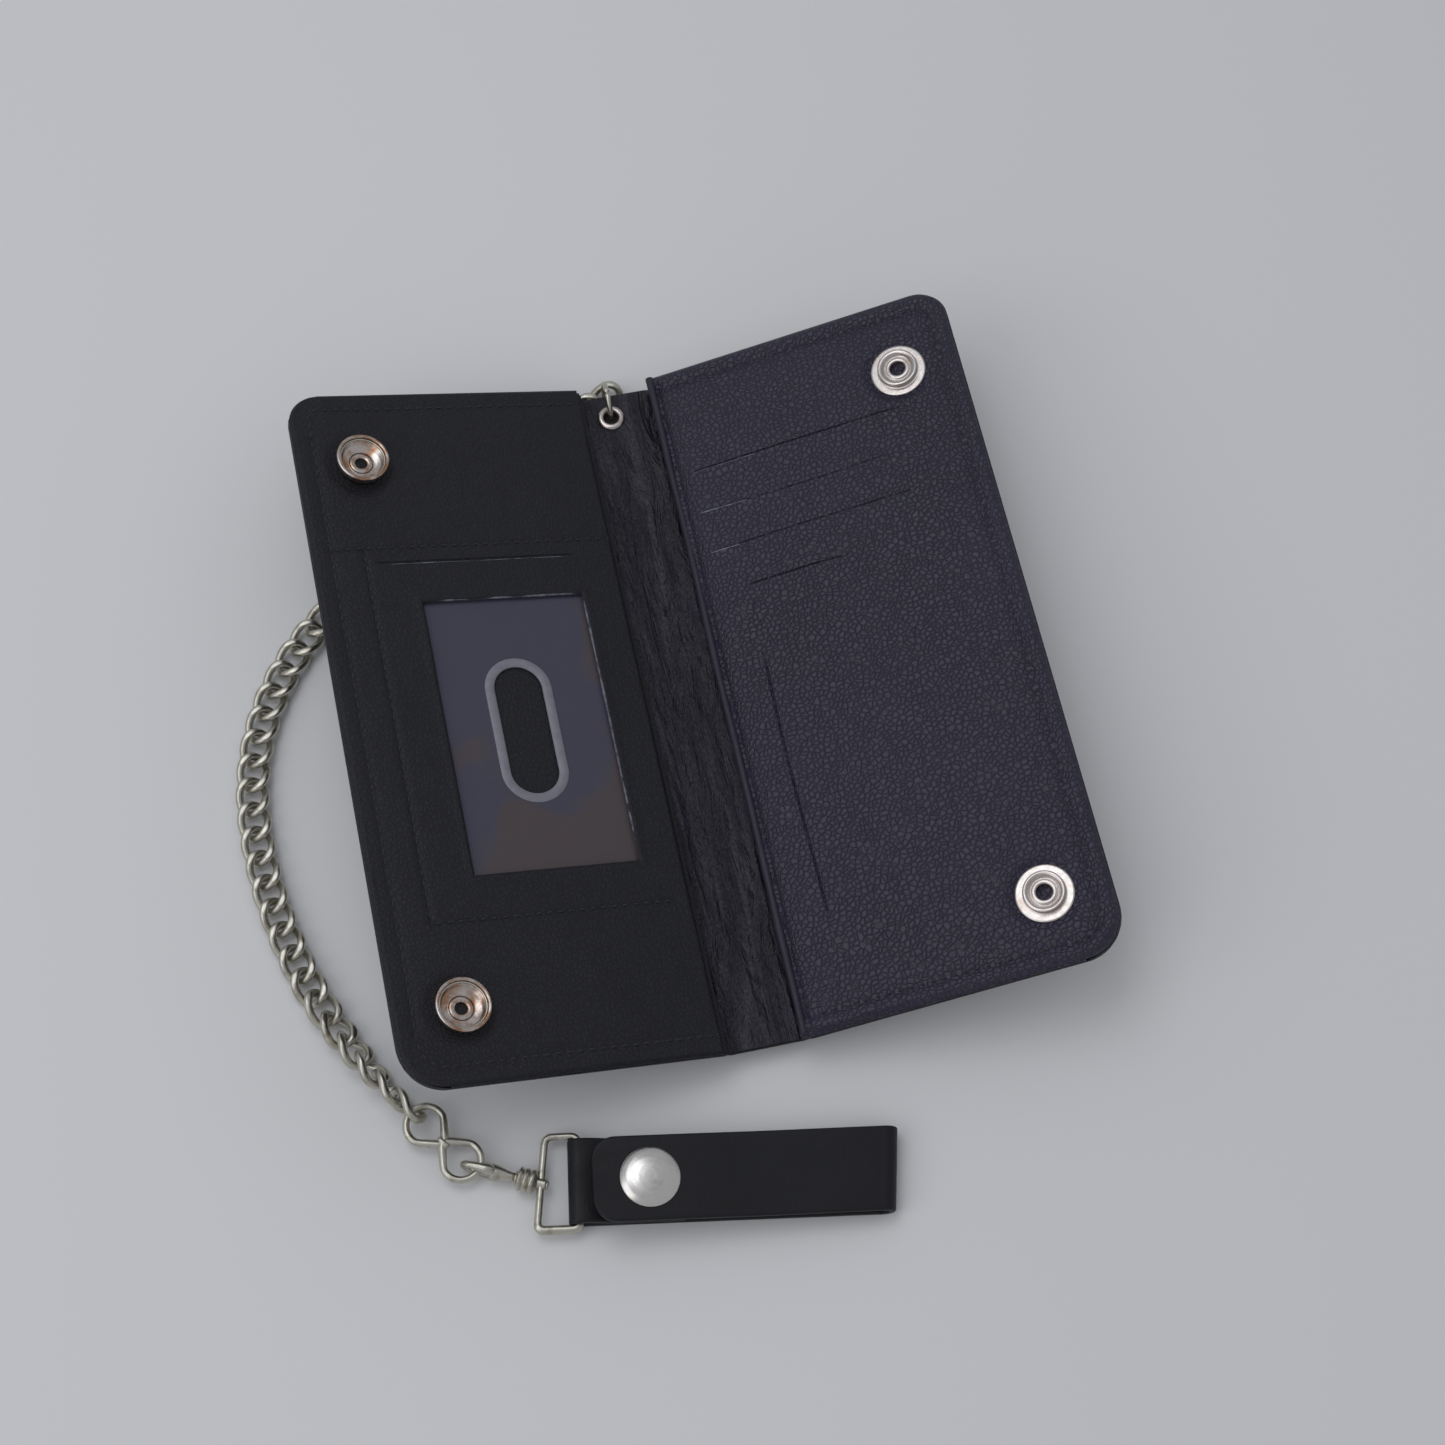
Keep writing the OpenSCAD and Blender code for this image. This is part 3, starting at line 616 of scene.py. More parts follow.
def right_relief(u, y, d, d_in):
    h = 1.15 * (1 - np.exp(-((d / 11) ** 2))) * ramp(d_in, 0, 7)
    h += 0.35 * value_noise(u / 19, y / 23, 5) + 0.1 * value_noise(u / 6, y / 5, 9)
    h += np.where(np.abs(y) > 80, sewn(u, d - SEW_IN, 0.4), sewn(y, d - SEW_IN, 0.4))
    h += 0.5 * bell(d - 2.2, 1.3)
    h += slit(u, y, 60.3, 2.5, 64, 0.5, 0.8, 8.0, 0.4)
    h += slit(u, y, 48.5, 3, 60, 0.3, 0.35, 12.0, -0.3)
    h += slit(u, y, 36.7, 3, 61, 0.35, 0.45, 8.0, 0.4)
    h += slit(u, y, 25.0, 10, 40, 0.4, 0.8, 6.0, 0.3)
    across = u - (11.5 + 0.3 * np.sin(y / 14))
    reach = ramp(y, -70, -60) * (1 - ramp(y, -2, 9))
    h += reach * (0.3 * np.where(across > 0, np.exp(-np.maximum(across, 0) / 2.5), 0) - 0.6 * bell(across, 0.24))
    h -= 0.35 * bell(y + 71, 0.4) * bell(u - 8.5, 4.5)
    h -= 0.5 * bell(d_in - 2.6, 0.7)
    # Puckers that run out from the lower press stud.
    turn = np.arctan2(y - SNAP_YS[0], u - SNAP_U)
    off = np.hypot(u - SNAP_U, y - SNAP_YS[0])
    h += 0.16 * np.cos(13 * turn) * bell(off - 10.5, 2.6) * ramp(np.sin(turn), -0.4, 0.6)
    return h * beside_snaps(u, y)


def make_panels():
    w = WINDOW
    us = spaced(1.5, COVER_W, 0.8, (w[0], w[1], 66))
    ys = spaced(-HALF_H, HALF_H, 0.8, (w[2], w[3], 42.7, 47, -52.8))
    left = panel(-1, left_relief, us, ys, 0.8, w)
    piece("panel_left", left, LEFT_LEATHER, *LEFT_SLOT, "left_panel")
    us = spaced(-1.8, COVER_W, 0.8, (11.5, 1.5))
    ys = spaced(-HALF_H, HALF_H, 0.8, (60.3, 48.5, 36.7, 25.0))
    right = panel(1, right_relief, us, ys, 1.3)
    piece("panel_right", right, RIGHT_LEATHER, *RIGHT_SLOT, "right_panel")


# ---- stitches


def stitch_row(points, up):
    """Short threads that dip into the leather at both ends; points are their middles, with directions."""
    parts = []
    for p, along in points:
        t = np.linspace(-1, 1, 7)
        path = p + along * (t * 1.7 / 2)[:, None] + up * (-0.05 + 0.16 - 0.42 * t**2)[:, None]
        parts.append(tube(path, 0.26 * (1 - 0.25 * t**4), 6))
    return joined(parts)


def cover_normal(side):
    return np.array([-side * math.sin(SLOPE), 0, math.cos(SLOPE)])


def threads_along(side, line, relief):
    """Stitches along a polyline of (u, y) on a cover's face."""
    face, start = FACE_START[side]
    line = np.array(line, float)
    seg = np.linalg.norm(np.diff(line, axis=0), axis=1)
    total = np.concatenate([[0], np.cumsum(seg)])
    middles = np.arange(STITCH / 2, total[-1], STITCH)
    (u, y), (u2, y2) = ([np.interp(at, total, way) for way in line.T] for at in (middles, middles + 0.4))
    d, d_in = edge_distance(u, y, start, 0.25)
    n = face + relief(u, y, d, d_in)
    p, q = on_cover(side, u, y, n), on_cover(side, u2, y2, n)
    along = q - p
    along /= np.linalg.norm(along, axis=1)[:, None]
    return list(zip(p, along)), cover_normal(side)


def sewn_outline(start_u):
    """The line of stitches round a cover's three outer sides, as (u, y) points."""
    half, right, rt, rb = outline(SEW_IN + PANEL_INSET)
    line = [(start_u, -half), (right - rb, -half)]
    line += [(right - rb + rb * math.sin(a), -half + rb - rb * math.cos(a)) for a in np.linspace(0.2, 1.5, 6)]
    line += [(right, -half + rb), (right, half - rt)]
    line += [(right - rt + rt * math.cos(a), half - rt + rt * math.sin(a)) for a in np.linspace(0.1, 1.5, 6)]
    return line + [(right - rt, half), (start_u, half)]


def make_threads():
    left = [sewn_outline(2.5), [(3.5, 47), (74.5, 47)], [(6, -52.8), (65.5, -52.8)], [(66, -52), (66, 46)]]
    right = [sewn_outline(3.5), [(1.8, -86), (1.8, 86)]]
    for side, lines, relief, (body, slot) in ((-1, left, left_relief, LEFT_SLOT), (1, right, right_relief, RIGHT_SLOT)):
        parts = [stitch_row(*threads_along(side, line, relief)) for line in lines]
        piece("thread_" + body, joined(parts), THREAD, body, slot)


# ---- pale lips painted as highlights, and the rolled edge


def lip(side, a, b, relief, radius, raised, broken, seed):
    """A thin pale tube from (u, y) to (u, y) on a cover's face, a painted highlight along a lit edge, thinner here and
    there where broken is above 0.
    """
    face, start = FACE_START[side]
    w = np.linspace(0, 1, max(12, int(math.dist(a, b) / 0.5)))
    u, y = a[0] + (b[0] - a[0]) * w, a[1] + (b[1] - a[1]) * w
    d, d_in = edge_distance(u, y, start, 0.25)
    n = face + relief(u, y, d, d_in) + raised
    thin = 1 - broken * (0.5 + 0.5 * value_noise(w * math.dist(a, b) / 3.5, 0 * w, seed))
    ends = np.sqrt(np.clip(np.minimum(w, 1 - w) * 12, 0.02, 1))
    return tube(on_cover(side, u, y, n), radius * thin * ends, 8)


def highlight_lips_and_rolled_edge():
    u0, u1, y0, y1 = WINDOW

    def flat(u, y, d, d_in):
        return 0 * u

    # Painted highlights: pale lines along the window's top and inner edges and along the lower lip of the pocket slit
    # above the window.
    left = [
        lip(-1, (u0 - 0.3, y1 + 0.35), (u1 + 0.2, y1 + 0.35), flat, 0.42, -0.05, 0.3, 2),
        lip(-1, (u0 - 0.35, y1 + 0.4), (u0 - 0.35, y0 - 0.2), flat, 0.4, -0.05, 0.35, 3),
        lip(-1, (13.5, 42.1), (60, 42.1), left_relief, 0.2, 0.0, 0.95, 4),
    ]
    piece("highlight_lips_left", joined(left), PAINTED_EDGE_HIGHLIGHT, *LEFT_SLOT)
    # Painted highlights along the lower lips of the three upper pocket slits.
    right = [
        lip(1, (4.4, 48.1), (17, 48.0), right_relief, 0.22, 0.0, 0.5, 5),
        lip(1, (4, 36.3), (12.5, 36.5), right_relief, 0.26, 0.0, 0.4, 6),
        lip(1, (4, 59.9), (22, 60.0), right_relief, 0.16, 0.0, 0.8, 7),
    ]
    piece("highlight_lips_right", joined(right), PAINTED_EDGE_HIGHLIGHT, *RIGHT_SLOT)
    # The right panel's inner edge is folded over a cord.
    y = np.linspace(-91.4, 91.4, 240)
    u = -0.75 + 0.18 * value_noise(y / 16, 0 * y, 12)
    n = RIGHT_FACE - 0.35 + 0.12 * value_noise(y / 11, 0 * y, 14)
    thick = 1.0 + 0.08 * value_noise(y / 7, 0 * y, 15)
    piece("rolled_edge", tube(on_cover(1, u, y, n), thick, 20), ROLL_LEATHER, *RIGHT_SLOT)


def hidden_parts():
    """Materials of the CAD solids that lie inside the covers."""
    looks = {
        "stiffener_left": BOARD, "stiffener_right": BOARD, "lining_left": LEFT_LEATHER, "lining_right": RIGHT_LEATHER,
        "side_pocket_sleeve": WOVEN, "strap_snap_spring": CHAIN_METAL,
    }
    looks.update({f"card_sleeve_{k}": WOVEN for k in range(1, 5)})
    for name, material in looks.items():
        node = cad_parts[name]
        node.data.materials.clear()
        node.data.materials.append(material)


# ---- outer leather and spine


def skin_section(bulge):
    """Outer face of the leather from the middle of the spine to past the fold, as (x, z)."""
    low = 4.9 * (1 - bulge)
    return [(0, low), (2.4, low), (4.6, low + 0.05), (6.6, low + (4.9 - low) * 0.45 + 0.1), (8.6, 4.9), (10.0, 5.6)]


def smooth_line(points, count):
    """Catmull-Rom line through the points."""
    p = np.array(points, float)
    p = np.vstack([2 * p[0] - p[1], p, 2 * p[-1] - p[-2]])
    out = []
    for t in np.linspace(0, len(p) - 3 - 1e-6, count):
        k = int(t)
        w = t - k
        a, b, c, d = p[k : k + 4]
        out.append(0.5 * (2 * b + (c - a) * w + (2 * a - 5 * b + 4 * c - d) * w**2 + (3 * b - a - 3 * c + d) * w**3))
    return np.array(out)


def outer_skin(side):
    """One half of the outer leather: from the middle of the spine, over the fold and out to the rolled edge."""
    ys = spaced(-HALF_H, HALF_H, 2.0, (), ends=4)
    bulge = ramp(ys, -90, -76) * (1 - ramp(ys, 62, 76))
    us = np.concatenate([np.arange(0.6, 4, 0.8), np.arange(4, 74, 2.5), np.arange(74, COVER_W - 0.1, 0.5), [COVER_W]])
    columns, edge_r = 26, 1.5
    rows_pts = []
    for y, b in zip(ys, bulge):
        spine_y = y * 91.2 / HALF_H
        sec = smooth_line(skin_section(b), columns)
        inner = np.stack([side * sec[:, 0], np.full(columns, spine_y), sec[:, 1]], -1)
        end = float(outer_end(y))
        u = np.where(us <= 60, us, 60 + (us - 60) * (end - 60) / (COVER_W - 60))
        d, _ = edge_distance(u, y, 0)
        lift = edge_r - np.sqrt(np.maximum(edge_r**2 - np.maximum(edge_r - d, 0) ** 2, 0))
        waves = value_noise(u / 25, np.full(len(u), y / 25), 4 + side)
        swell = -0.35 * ramp(d, 3, 20) + 0.18 * waves * ramp(d, 1, 6)
        outer = on_cover(side, u, y, lift + swell)
        wall = on_cover(side, end - np.array([0, 0.1, 0.5]), y, np.array([1.9, 2.4, 2.8]))
        rows_pts.append(np.concatenate([inner, outer, wall]))
    grid = np.array(rows_pts)
    rows, cols = grid.shape[:2]
    pts = [grid.reshape(-1, 3)]
    faces = grid_faces(rows, cols, flip=side > 0)
    base = rows * cols
    # Turned edges at the two ends: a strip that rises to the lining and goes in under it.
    for row, sign in ((0, 1), (rows - 1, -1)):
        line = grid[row]
        flip = (side > 0) == (sign > 0)
        up = np.where(np.abs(line[:, :1]) < FOLD_X, np.array([[0, 0, 1.0]]), cover_normal(side)[None])
        prev = [row * cols + i for i in range(cols)]
        for step, inward in zip((0.6, 1.15, 1.3), (0.0, 0.25, 5.0)):
            height = np.where(np.abs(line[:, 0]) < FOLD_X, step * 0.75, step)
            moved_line = line + up * height[:, None] + np.array([[0, sign * inward, 0]])
            pts.append(moved_line)
            now = list(range(base, base + cols))
            base += cols
            for i in range(cols - 1):
                quad = [prev[i], prev[i + 1], now[i + 1], now[i]]
                faces.append(quad if flip else quad[::-1])
            prev = now
    nodes = ["outer_shell_left", "outer_shell_spine"] if side < 0 else ["outer_shell_right"]
    cover_piece("outer_leather", side, (np.concatenate(pts), faces), OUTER_LEATHER, "leather_outer", *nodes)


def spine_half(side):
    """One half of the creased spine lining, from the middle of the spine to under the cover's panel."""
    ys = np.linspace(-91.0, 91.0, 420)
    t = np.linspace(0, 1, 56)
    x_end = FOLD_X + 3.5
    x = t * x_end
    xx, yy = np.meshgrid(x, ys)
    sag = 1.9 * ramp(yy, -86, -60) * (1 - ramp(yy, 55, 80))
    base = FOLD_Z - sag * (1 - ramp(xx, 2, 10.5)) * 0.9
    over = np.maximum(xx - FOLD_X, 0)
    base = base + over * 0.9
    side_x = side * xx
    drift = 2.2 * np.sin(yy / 31 + 0.6) + 1.1 * np.sin(yy / 13)
    coarse = value_noise((side_x + drift) / 2.6, yy / 26, 11)
    fine = value_noise((side_x + 0.6 * drift) / 1.1, yy / 9, 17)
    cross = value_noise(side_x / 5, (yy + 1.5 * side_x) / 3.4, 23)
    calm = ramp(np.abs(np.abs(yy) - 91), 0, 6) * (1 - ramp(xx, FOLD_X - 1.0, x_end))
    near_eyelet = 1 - bell(np.hypot(side_x - EYELET[0], yy - EYELET[1]), 6)
    height = (0.55 * coarse + 0.22 * fine + 0.16 * cross) * calm * near_eyelet
    z = base + height - 0.1
    if side > 0:
        z = z - 0.5 * bell(xx - 8.8, 1.0)
    pts = np.stack([side_x, yy, z], -1)
    mx, my = (pts[1:, 1:, 0] + pts[:-1, :-1, 0]) / 2, (pts[1:, 1:, 1] + pts[:-1, :-1, 1]) / 2
    keep = np.hypot(mx - EYELET[0], my - EYELET[1]) > 2.1
    nodes = ["lining_spine"] if side < 0 else []
    part = sheet(pts, keep=keep, flip=side < 0)
    cover_piece("spine_lining", side, part, SPINE_LEATHER, "leather_lining", *nodes)


# ---- window pocket


def window_pocket():
    u0, u1, y0, y1 = WINDOW
    uu, yy = np.meshgrid(np.linspace(u0 - 1.5, u1 + 1.5, 90), np.linspace(y0 - 1.5, y1 + 1.5, 150))
    cu, cy, w, h = THUMB
    straight = (h - w) / 2
    hole = w / 2 - 2.4
    dist = np.hypot(uu - cu, np.maximum(np.abs(yy - cy) - straight, 0))
    # Grid stations near the slot slide onto its edge so that the cut is clean.
    centre_y = np.clip(yy, cy - straight, cy + straight)
    snap = np.abs(dist - hole) < 0.4
    scale = np.where(snap & (dist > 0), hole / np.maximum(dist, 1e-6), 1)
    uu2, yy2 = cu + (uu - cu) * scale, centre_y + (yy - centre_y) * scale
    wave = 0.14 * value_noise(uu / 15, yy / 19, 31) + 0.05 * value_noise(uu / 5, yy / 7, 33)
    inside = np.minimum(np.minimum(uu - u0, u1 - uu), np.minimum(yy - y0, y1 - yy))
    n = 3.55 + wave * ramp(inside, 0, 4)
    centre_d = (dist[1:, 1:] + dist[:-1, :-1]) / 2
    part = sheet(on_cover(-1, uu2, yy2, n), keep=centre_d > hole, flip=True)
    piece("window_sheet", part, VINYL, "left_cover", "vinyl", "id_window")
    # Frosted band round the thumb slot.
    a = np.linspace(0, 2 * math.pi, 97)[:-1]
    rows = []
    band = ((w / 2, 0.0), (w / 2 - 0.15, 0.14), (w / 2 - 1.2, 0.2), (w / 2 - 2.3, 0.14), (hole, 0.0), (hole, -0.25))
    for r, lift in band:
        bu, by = cu + r * np.cos(a), cy + r * np.sin(a) + np.where(np.sin(a) >= 0, straight, -straight)
        rows.append(on_cover(-1, bu, by, 3.62 + lift + 0.14 * value_noise(bu / 15, by / 19, 31)))
    piece("thumb_slot_band", sheet(np.array(rows), wrap_cols=True), FROSTED, "left_cover", "vinyl")
    # The pocket's dark floor, seen through the sheet.
    uu, yy = np.meshgrid(np.linspace(5, 67, 30), np.linspace(-53, 46.5, 50))
    floor = sheet(on_cover(-1, uu, yy, 3.02 + 0.06 * value_noise(uu / 9, yy / 9, 41)), flip=True)
    piece("pocket_floor", floor, LEFT_LEATHER, "left_cover", "cloth", "id_pocket_backing")


# ---- press studs


CAP = [
    (0, -1.95), (1.5, -1.93), (3, -1.82), (4.6, -1.58), (6, -1.15), (6.9, -0.72), (7.3, -0.45), (7.5, -0.25),
    (7.45, -0.05), (7.0, 0.0),
]
SOCKET = [
    (4.4, -0.05), (5.6, 0.5), (6.35, 1.6), (6.65, 3.0), (6.66, 3.5), (6.45, 3.78), (6.1, 3.78), (5.8, 3.6), (5.75, 3.4),
    (6.05, 3.2), (6.1, 2.4), (5.5, 1.85), (4.9, 1.15), (4.0, 0.7), (3.3, 0.5), (3.0, 0.55), (2.9, 0.85), (2.4, 1.0),
    (1.9, 0.95), (1.45, 0.7), (1.4, -1.6), (0, -1.62),
]
STUD = [
    (6.9, -0.05), (7.15, 0.1), (7.1, 0.3), (6.8, 0.42), (5.35, 0.4), (5.0, 0.5), (4.9, 0.75), (4.9, 1.5), (5.15, 1.8),
    (5.1, 2.1), (4.7, 2.25), (4.1, 2.1), (3.7, 1.5), (3.4, 1.3), (3.15, 1.4), (2.95, 1.62), (2.5, 1.7), (2.1, 1.6),
    (1.95, 1.35), (1.9, -1.8), (0, -1.82),
]
POST_HEAD = [
    (0, -0.5), (0.9, -0.52), (1.0, -0.72), (1.6, -0.8), (4.2, -0.8), (4.75, -0.6), (4.9, -0.3), (4.8, 0.0), (4.4, 0.05),
]


def cover_matrix(side, u, y, n):
    """Places a part drawn about its own +Z axis on a cover, standing on the face at (u, y, n)."""
    return standing(on_cover(side, u, y, n)) @ Matrix.Rotation(-side * SLOPE, 4, "Y")


def flipped(part):
    return part[0], [f[::-1] for f in part[1]]


def press_studs():
    wire = [(5.62 + 0.3 * math.cos(a), 2.85 + 0.3 * math.sin(a)) for a in np.linspace(0, 2 * math.pi, 13)]

    def bore_floor(radius):
        return flipped(lathe([(0.05, 0.0), (radius * 0.5, -0.02), (radius, 0.05)], 40))

    rows = [
        ("sockets", -1, turned(SOCKET, 0.2, 3, 80), LEFT_FACE, SOCKET_METAL, "snap_sockets_left"),
        ("springs", -1, flipped(lathe(wire, 64)), LEFT_FACE, CHAIN_METAL, "snap_springs_left"),
        ("caps", -1, turned(CAP, 0.2, 3, 80), 0.0, CAP_METAL, "snap_caps_left"),
        ("bore_floors_left", -1, bore_floor(1.39), LEFT_FACE - 0.4, WOVEN),
        ("bore_floors_right", 1, bore_floor(1.89), RIGHT_FACE - 0.3, WOVEN),
        ("studs", 1, turned(STUD, 0.2, 3, 80), RIGHT_FACE, SNAP_METAL, "snap_studs_right"),
        ("post_heads", 1, turned(POST_HEAD, 0.2, 3, 80), 0.0, CAP_METAL, "snap_posts_right"),
    ]
    for name, side, part, n, metal, *nodes in rows:
        slot = "spring_steel" if name == "springs" else "hardware_plate"
        pair = joined([moved(part, cover_matrix(side, SNAP_U, y, n)) for y in SNAP_YS])
        piece(name, pair, metal, COVER_BODY[side], slot, *nodes)


def eyelet():
    top = FOLD_Z - 0.15
    profile = [(1.9, 4.6)]
    profile += [
        (r, top + z) for r, z in
        ((1.9, 0.3), (2.05, 0.62), (2.5, 0.85), (3.1, 0.75), (3.5, 0.4), (3.6, 0.05), (3.4, -0.1))
    ]
    part = flipped(turned(profile, 0.2, 3, 64))
    piece("eyelet", moved(part, standing((*EYELET, 0))), SNAP_METAL, "spine", "hardware_plate", "eyelet_barrel")
    profile = [(2.4, 4.9), (2.5, 4.5), (3.4, 4.42), (3.6, 4.6), (3.6, 4.88)]
    part = flipped(turned(profile, 0.1, 2, 64))
    piece("eyelet_back", moved(part, standing((*EYELET, 0))), SNAP_METAL, "spine", "hardware_plate", "eyelet_washer")


# ---- chain


CHAIN_START, CHAIN_HEADING, PITCH = (-3.35, 92.7), -158.0, 6.5
HIDDEN, BOW, RUN = (15, 1.2), (9, 5.4), (13, 2.9)
EDGE_LINKS = 6


def chain_piece(name, part, body, node):
    piece(name, part, CHAIN_METAL, body, "chain_metal", node)


def chain_route():
    """Centre and heading of each link: nearly straight under the cover, then a bow, then a long curve."""
    x, y = CHAIN_START
    heading = CHAIN_HEADING
    route = [(x, y, heading)]
    for count, turn in (HIDDEN, BOW, RUN):
        for _ in range(count):
            heading += turn
            mean = math.radians(heading - turn / 2)
            x, y = x + PITCH * math.cos(mean), y + PITCH * math.sin(mean)
            route.append((x, y, heading))
    return route


def link_mesh():
    """A curb link: oval wire, twisted, and ground a little flatter above and below."""
    t = np.linspace(0, 2 * math.pi, 73)[:-1]
    path = np.stack([4.5 * np.cos(t), 3.3 * np.sin(t), 1.25 * np.sin(2 * t)], -1)
    pts, faces = tube(path, 1.0, 20, closed=True)
    z = pts[:, 2]
    flat = 2.0
    ground = np.sign(z) * (flat - 0.3 + 0.3 * np.tanh((np.abs(z) - flat + 0.3) / 0.3))
    pts[:, 2] = np.where(np.abs(z) > flat - 0.3, ground, z)
    return pts, faces


def chain():
    route = chain_route()
    link = link_mesh()
    last = len(route) - 1
    for group in range(13):
        parts = []
        for i in range(group * 3, min(group * 3 + 3, last + 1)):
            x, y, heading = route[i]
            roll = max(0, i - (last - EDGE_LINKS)) * math.pi / 2 / EDGE_LINKS
            z = 2.3 + 2.05 * math.sin(roll)
            place = standing((x, y, z), math.radians(heading)) @ Matrix.Rotation(-roll, 4, "X")
            parts.append(moved(link, place))
        body = f"chain_{group + 1:02d}"
        chain_piece("links_" + body[-2:], joined(parts), body, body)
    return route[-1]


def jump_ring():
    t = np.linspace(0, 2 * math.pi, 72, endpoint=False)
    path = np.stack([0 * t + EYELET[0], 84.9 + 4.8 + 4.8 * np.cos(t), 5.65 + 4.8 * np.sin(t)], -1)
    chain_piece("jump_ring_wire", tube(path, 0.7, 16, closed=True), "jump_ring", "jump_ring")


def figure_eight(end):
    """Two teardrop loops of one wire that cross and are brazed at the waist."""
    lead, heading, reach = math.radians(-56), math.radians(-55.5), 6.2
    cx = end[0] + reach * math.cos(lead) + 6 * math.cos(heading)
    cy = end[1] + reach * math.sin(lead) + 6 * math.sin(heading)
    place = standing((cx, cy, 3.4), heading) @ Matrix.Rotation(math.radians(1.4), 4, "Y")
    parts = []
    t = np.linspace(-math.pi, math.pi, 97)[1:-1]
    # Round at the far end, drawn in to a point at the waist.
    draw = ramp(-np.cos(t), 0.2, 1.0)
    for side in (-1, 1):
        path = np.stack([side * (6 + 4.6 * np.cos(t) - 1.3 * draw), 4.6 * np.sin(t) * (1 - 0.5 * draw), 0 * t], -1)
        parts.append(tube(path, 0.87 + 0.2 * draw, 18))
    x = np.linspace(-1.5, 1.5, 9)
    parts.append(rod(x, 1.2 - 0.3 * (x / 1.5) ** 2, 18))
    chain_piece("figure_eight_wire", moved(joined(parts), place), "figure_eight", "figure_eight_link")


def swivel():
    place = standing(on_strap((LOOP_TOP_S + LOOP_BOTTOM_S) / 2, 0.0, LOOP_Z), math.radians(-25.5))
    # Eye on edge, its neck and the pin, drawn along +X towards the loop.
    t = np.linspace(0, 2 * math.pi, 49)[:-1]
    eye = np.stack([-15.2 + np.sign(np.cos(t)) * 1.5 + 2.0 * np.cos(t), 0 * t, 2.0 * np.sin(t)], -1)
    parts = [tube(eye, 0.85 + 0.45 * ramp(eye[:, 0], -15.6, -12.6), 14, closed=True)]
    x = np.linspace(-12.1, -6.3, 9)
    parts.append(rod(x, 1.05 + 0.9 * ramp(-x, 6.3, 11.6), 18))
    parts.append(rod([-6.5, 1.2, 1.25, 1.4, 1.6, 1.8, 1.88], [0.7, 0.7, 0.95, 1.15, 1.15, 0.85, 0.3], 18))
    chain_piece("swivel_eye_wire", moved(joined(parts), place), "swivel_eye", "swivel_eye")
    x = np.linspace(-6.2, -1.02, 70)
    ridges = 2.4 + 0.5 * np.abs(np.sin((x + 5.9) * math.pi / 1.5)) ** 0.7
    ridges *= 1 - 0.3 * ramp(x, -1.5, -1.02) - 0.45 * (1 - ramp(x, -6.2, -5.2))
    barrel = rod(x, ridges, 36)
    chain_piece("swivel_barrel_ribbed", moved(barrel, place), "strap_loop", "swivel_barrel")
    # Four-sided loop, its corners bent round; the side towards the camera is a little thicker.
    corners = [(LOOP_S, 11.0), (LOOP_TOP_S, 11.0), (LOOP_BOTTOM_S, -11.0), (LOOP_S, -11.0)]
    line = []
    for k in range(4):
        p, q, r = (np.array(corners[m % 4], float) for m in (k - 1, k, k + 1))
        a, b = (p - q) / np.linalg.norm(p - q), (r - q) / np.linalg.norm(r - q)
        for w in np.linspace(0, 1, 8):
            line.append((1 - w) ** 2 * (q + a * 1.9) + 2 * w * (1 - w) * q + w * w * (q + b * 1.9))
        span = np.linalg.norm(r - q)
        for w in np.linspace(2.4, span - 2.4, 10):
            line.append(q + b * w)
    line = np.array(line)
    radius = 0.9 + 0.2 * ramp(-line[:, 1], 9.0, 10.6)
    path = on_strap(line[:, 0], line[:, 1], LOOP_Z)
    boss = moved(rod(np.linspace(-1.0, 1.15, 8), 1.3, 18), place)
    chain_piece("strap_loop_wire", joined([tube(path, radius, 16, closed=True), boss]), "strap_loop", "strap_loop")


# ---- strap


def ribbon(centre, up, half_w, thickness, tip=None, skew=0.0):
    """A leather band swept along a line of (s, z) with rounded long edges, turned by skew about the folded end."""
    prof_t, prof_h = [], []
    r = 0.5
    hw, ht = half_w, thickness / 2
    for sx, sz, a0 in ((1, 1, 0), (-1, 1, 90), (-1, -1, 180), (1, -1, 270)):
        for a in np.linspace(a0, a0 + 90, 5):
            prof_t.append(sx * (hw - r) + r * math.cos(math.radians(a)))
            prof_h.append(sz * (ht - r) + r * math.sin(math.radians(a)))
        if a0 in (0, 180):
            for w in np.linspace(0.04, 0.96, 24):
                sign = 1 if a0 == 0 else -1
                prof_t.append(sign * (hw - r) * (1 - 2 * w))
                prof_h.append(sign * ht)
    prof_t, prof_h = np.array(prof_t), np.array(prof_h)
    widths = np.ones(len(centre)) if tip is None else tip
    s = centre[:, None, 0] + up[:, None, 0] * prof_h
    z = centre[:, None, 1] + up[:, None, 1] * prof_h
    t = prof_t[None] * widths[:, None]
    c, k, arm = math.cos(skew), math.sin(skew), s - FLAP_HINGE_S
    s, t = FLAP_HINGE_S + arm * c - t * k, t * c + arm * k
    # The folded end is not cut square: it runs out further at one edge.
    s = s + (0.8 + 0.09 * t) * ramp(s, 50, 76)
    pts = on_strap(s, t, z)
    rows, cols = pts.shape[:2]
    faces = grid_faces(rows, cols, wrap_cols=True)
    faces.append(list(range(cols))[::-1])
    faces.append([(rows - 1) * cols + k for k in range(cols)])
    return pts.reshape(-1, 3), faces


def with_normals(line):
    tangent = np.gradient(line, axis=0)
    tangent /= np.linalg.norm(tangent, axis=1)[:, None]
    return np.stack([-tangent[:, 1], tangent[:, 0]], -1)


def leather_strip(name, part, body, node):
    piece(name, part, STRAP_LEATHER, body, "strap_leather", node, sharp=50)


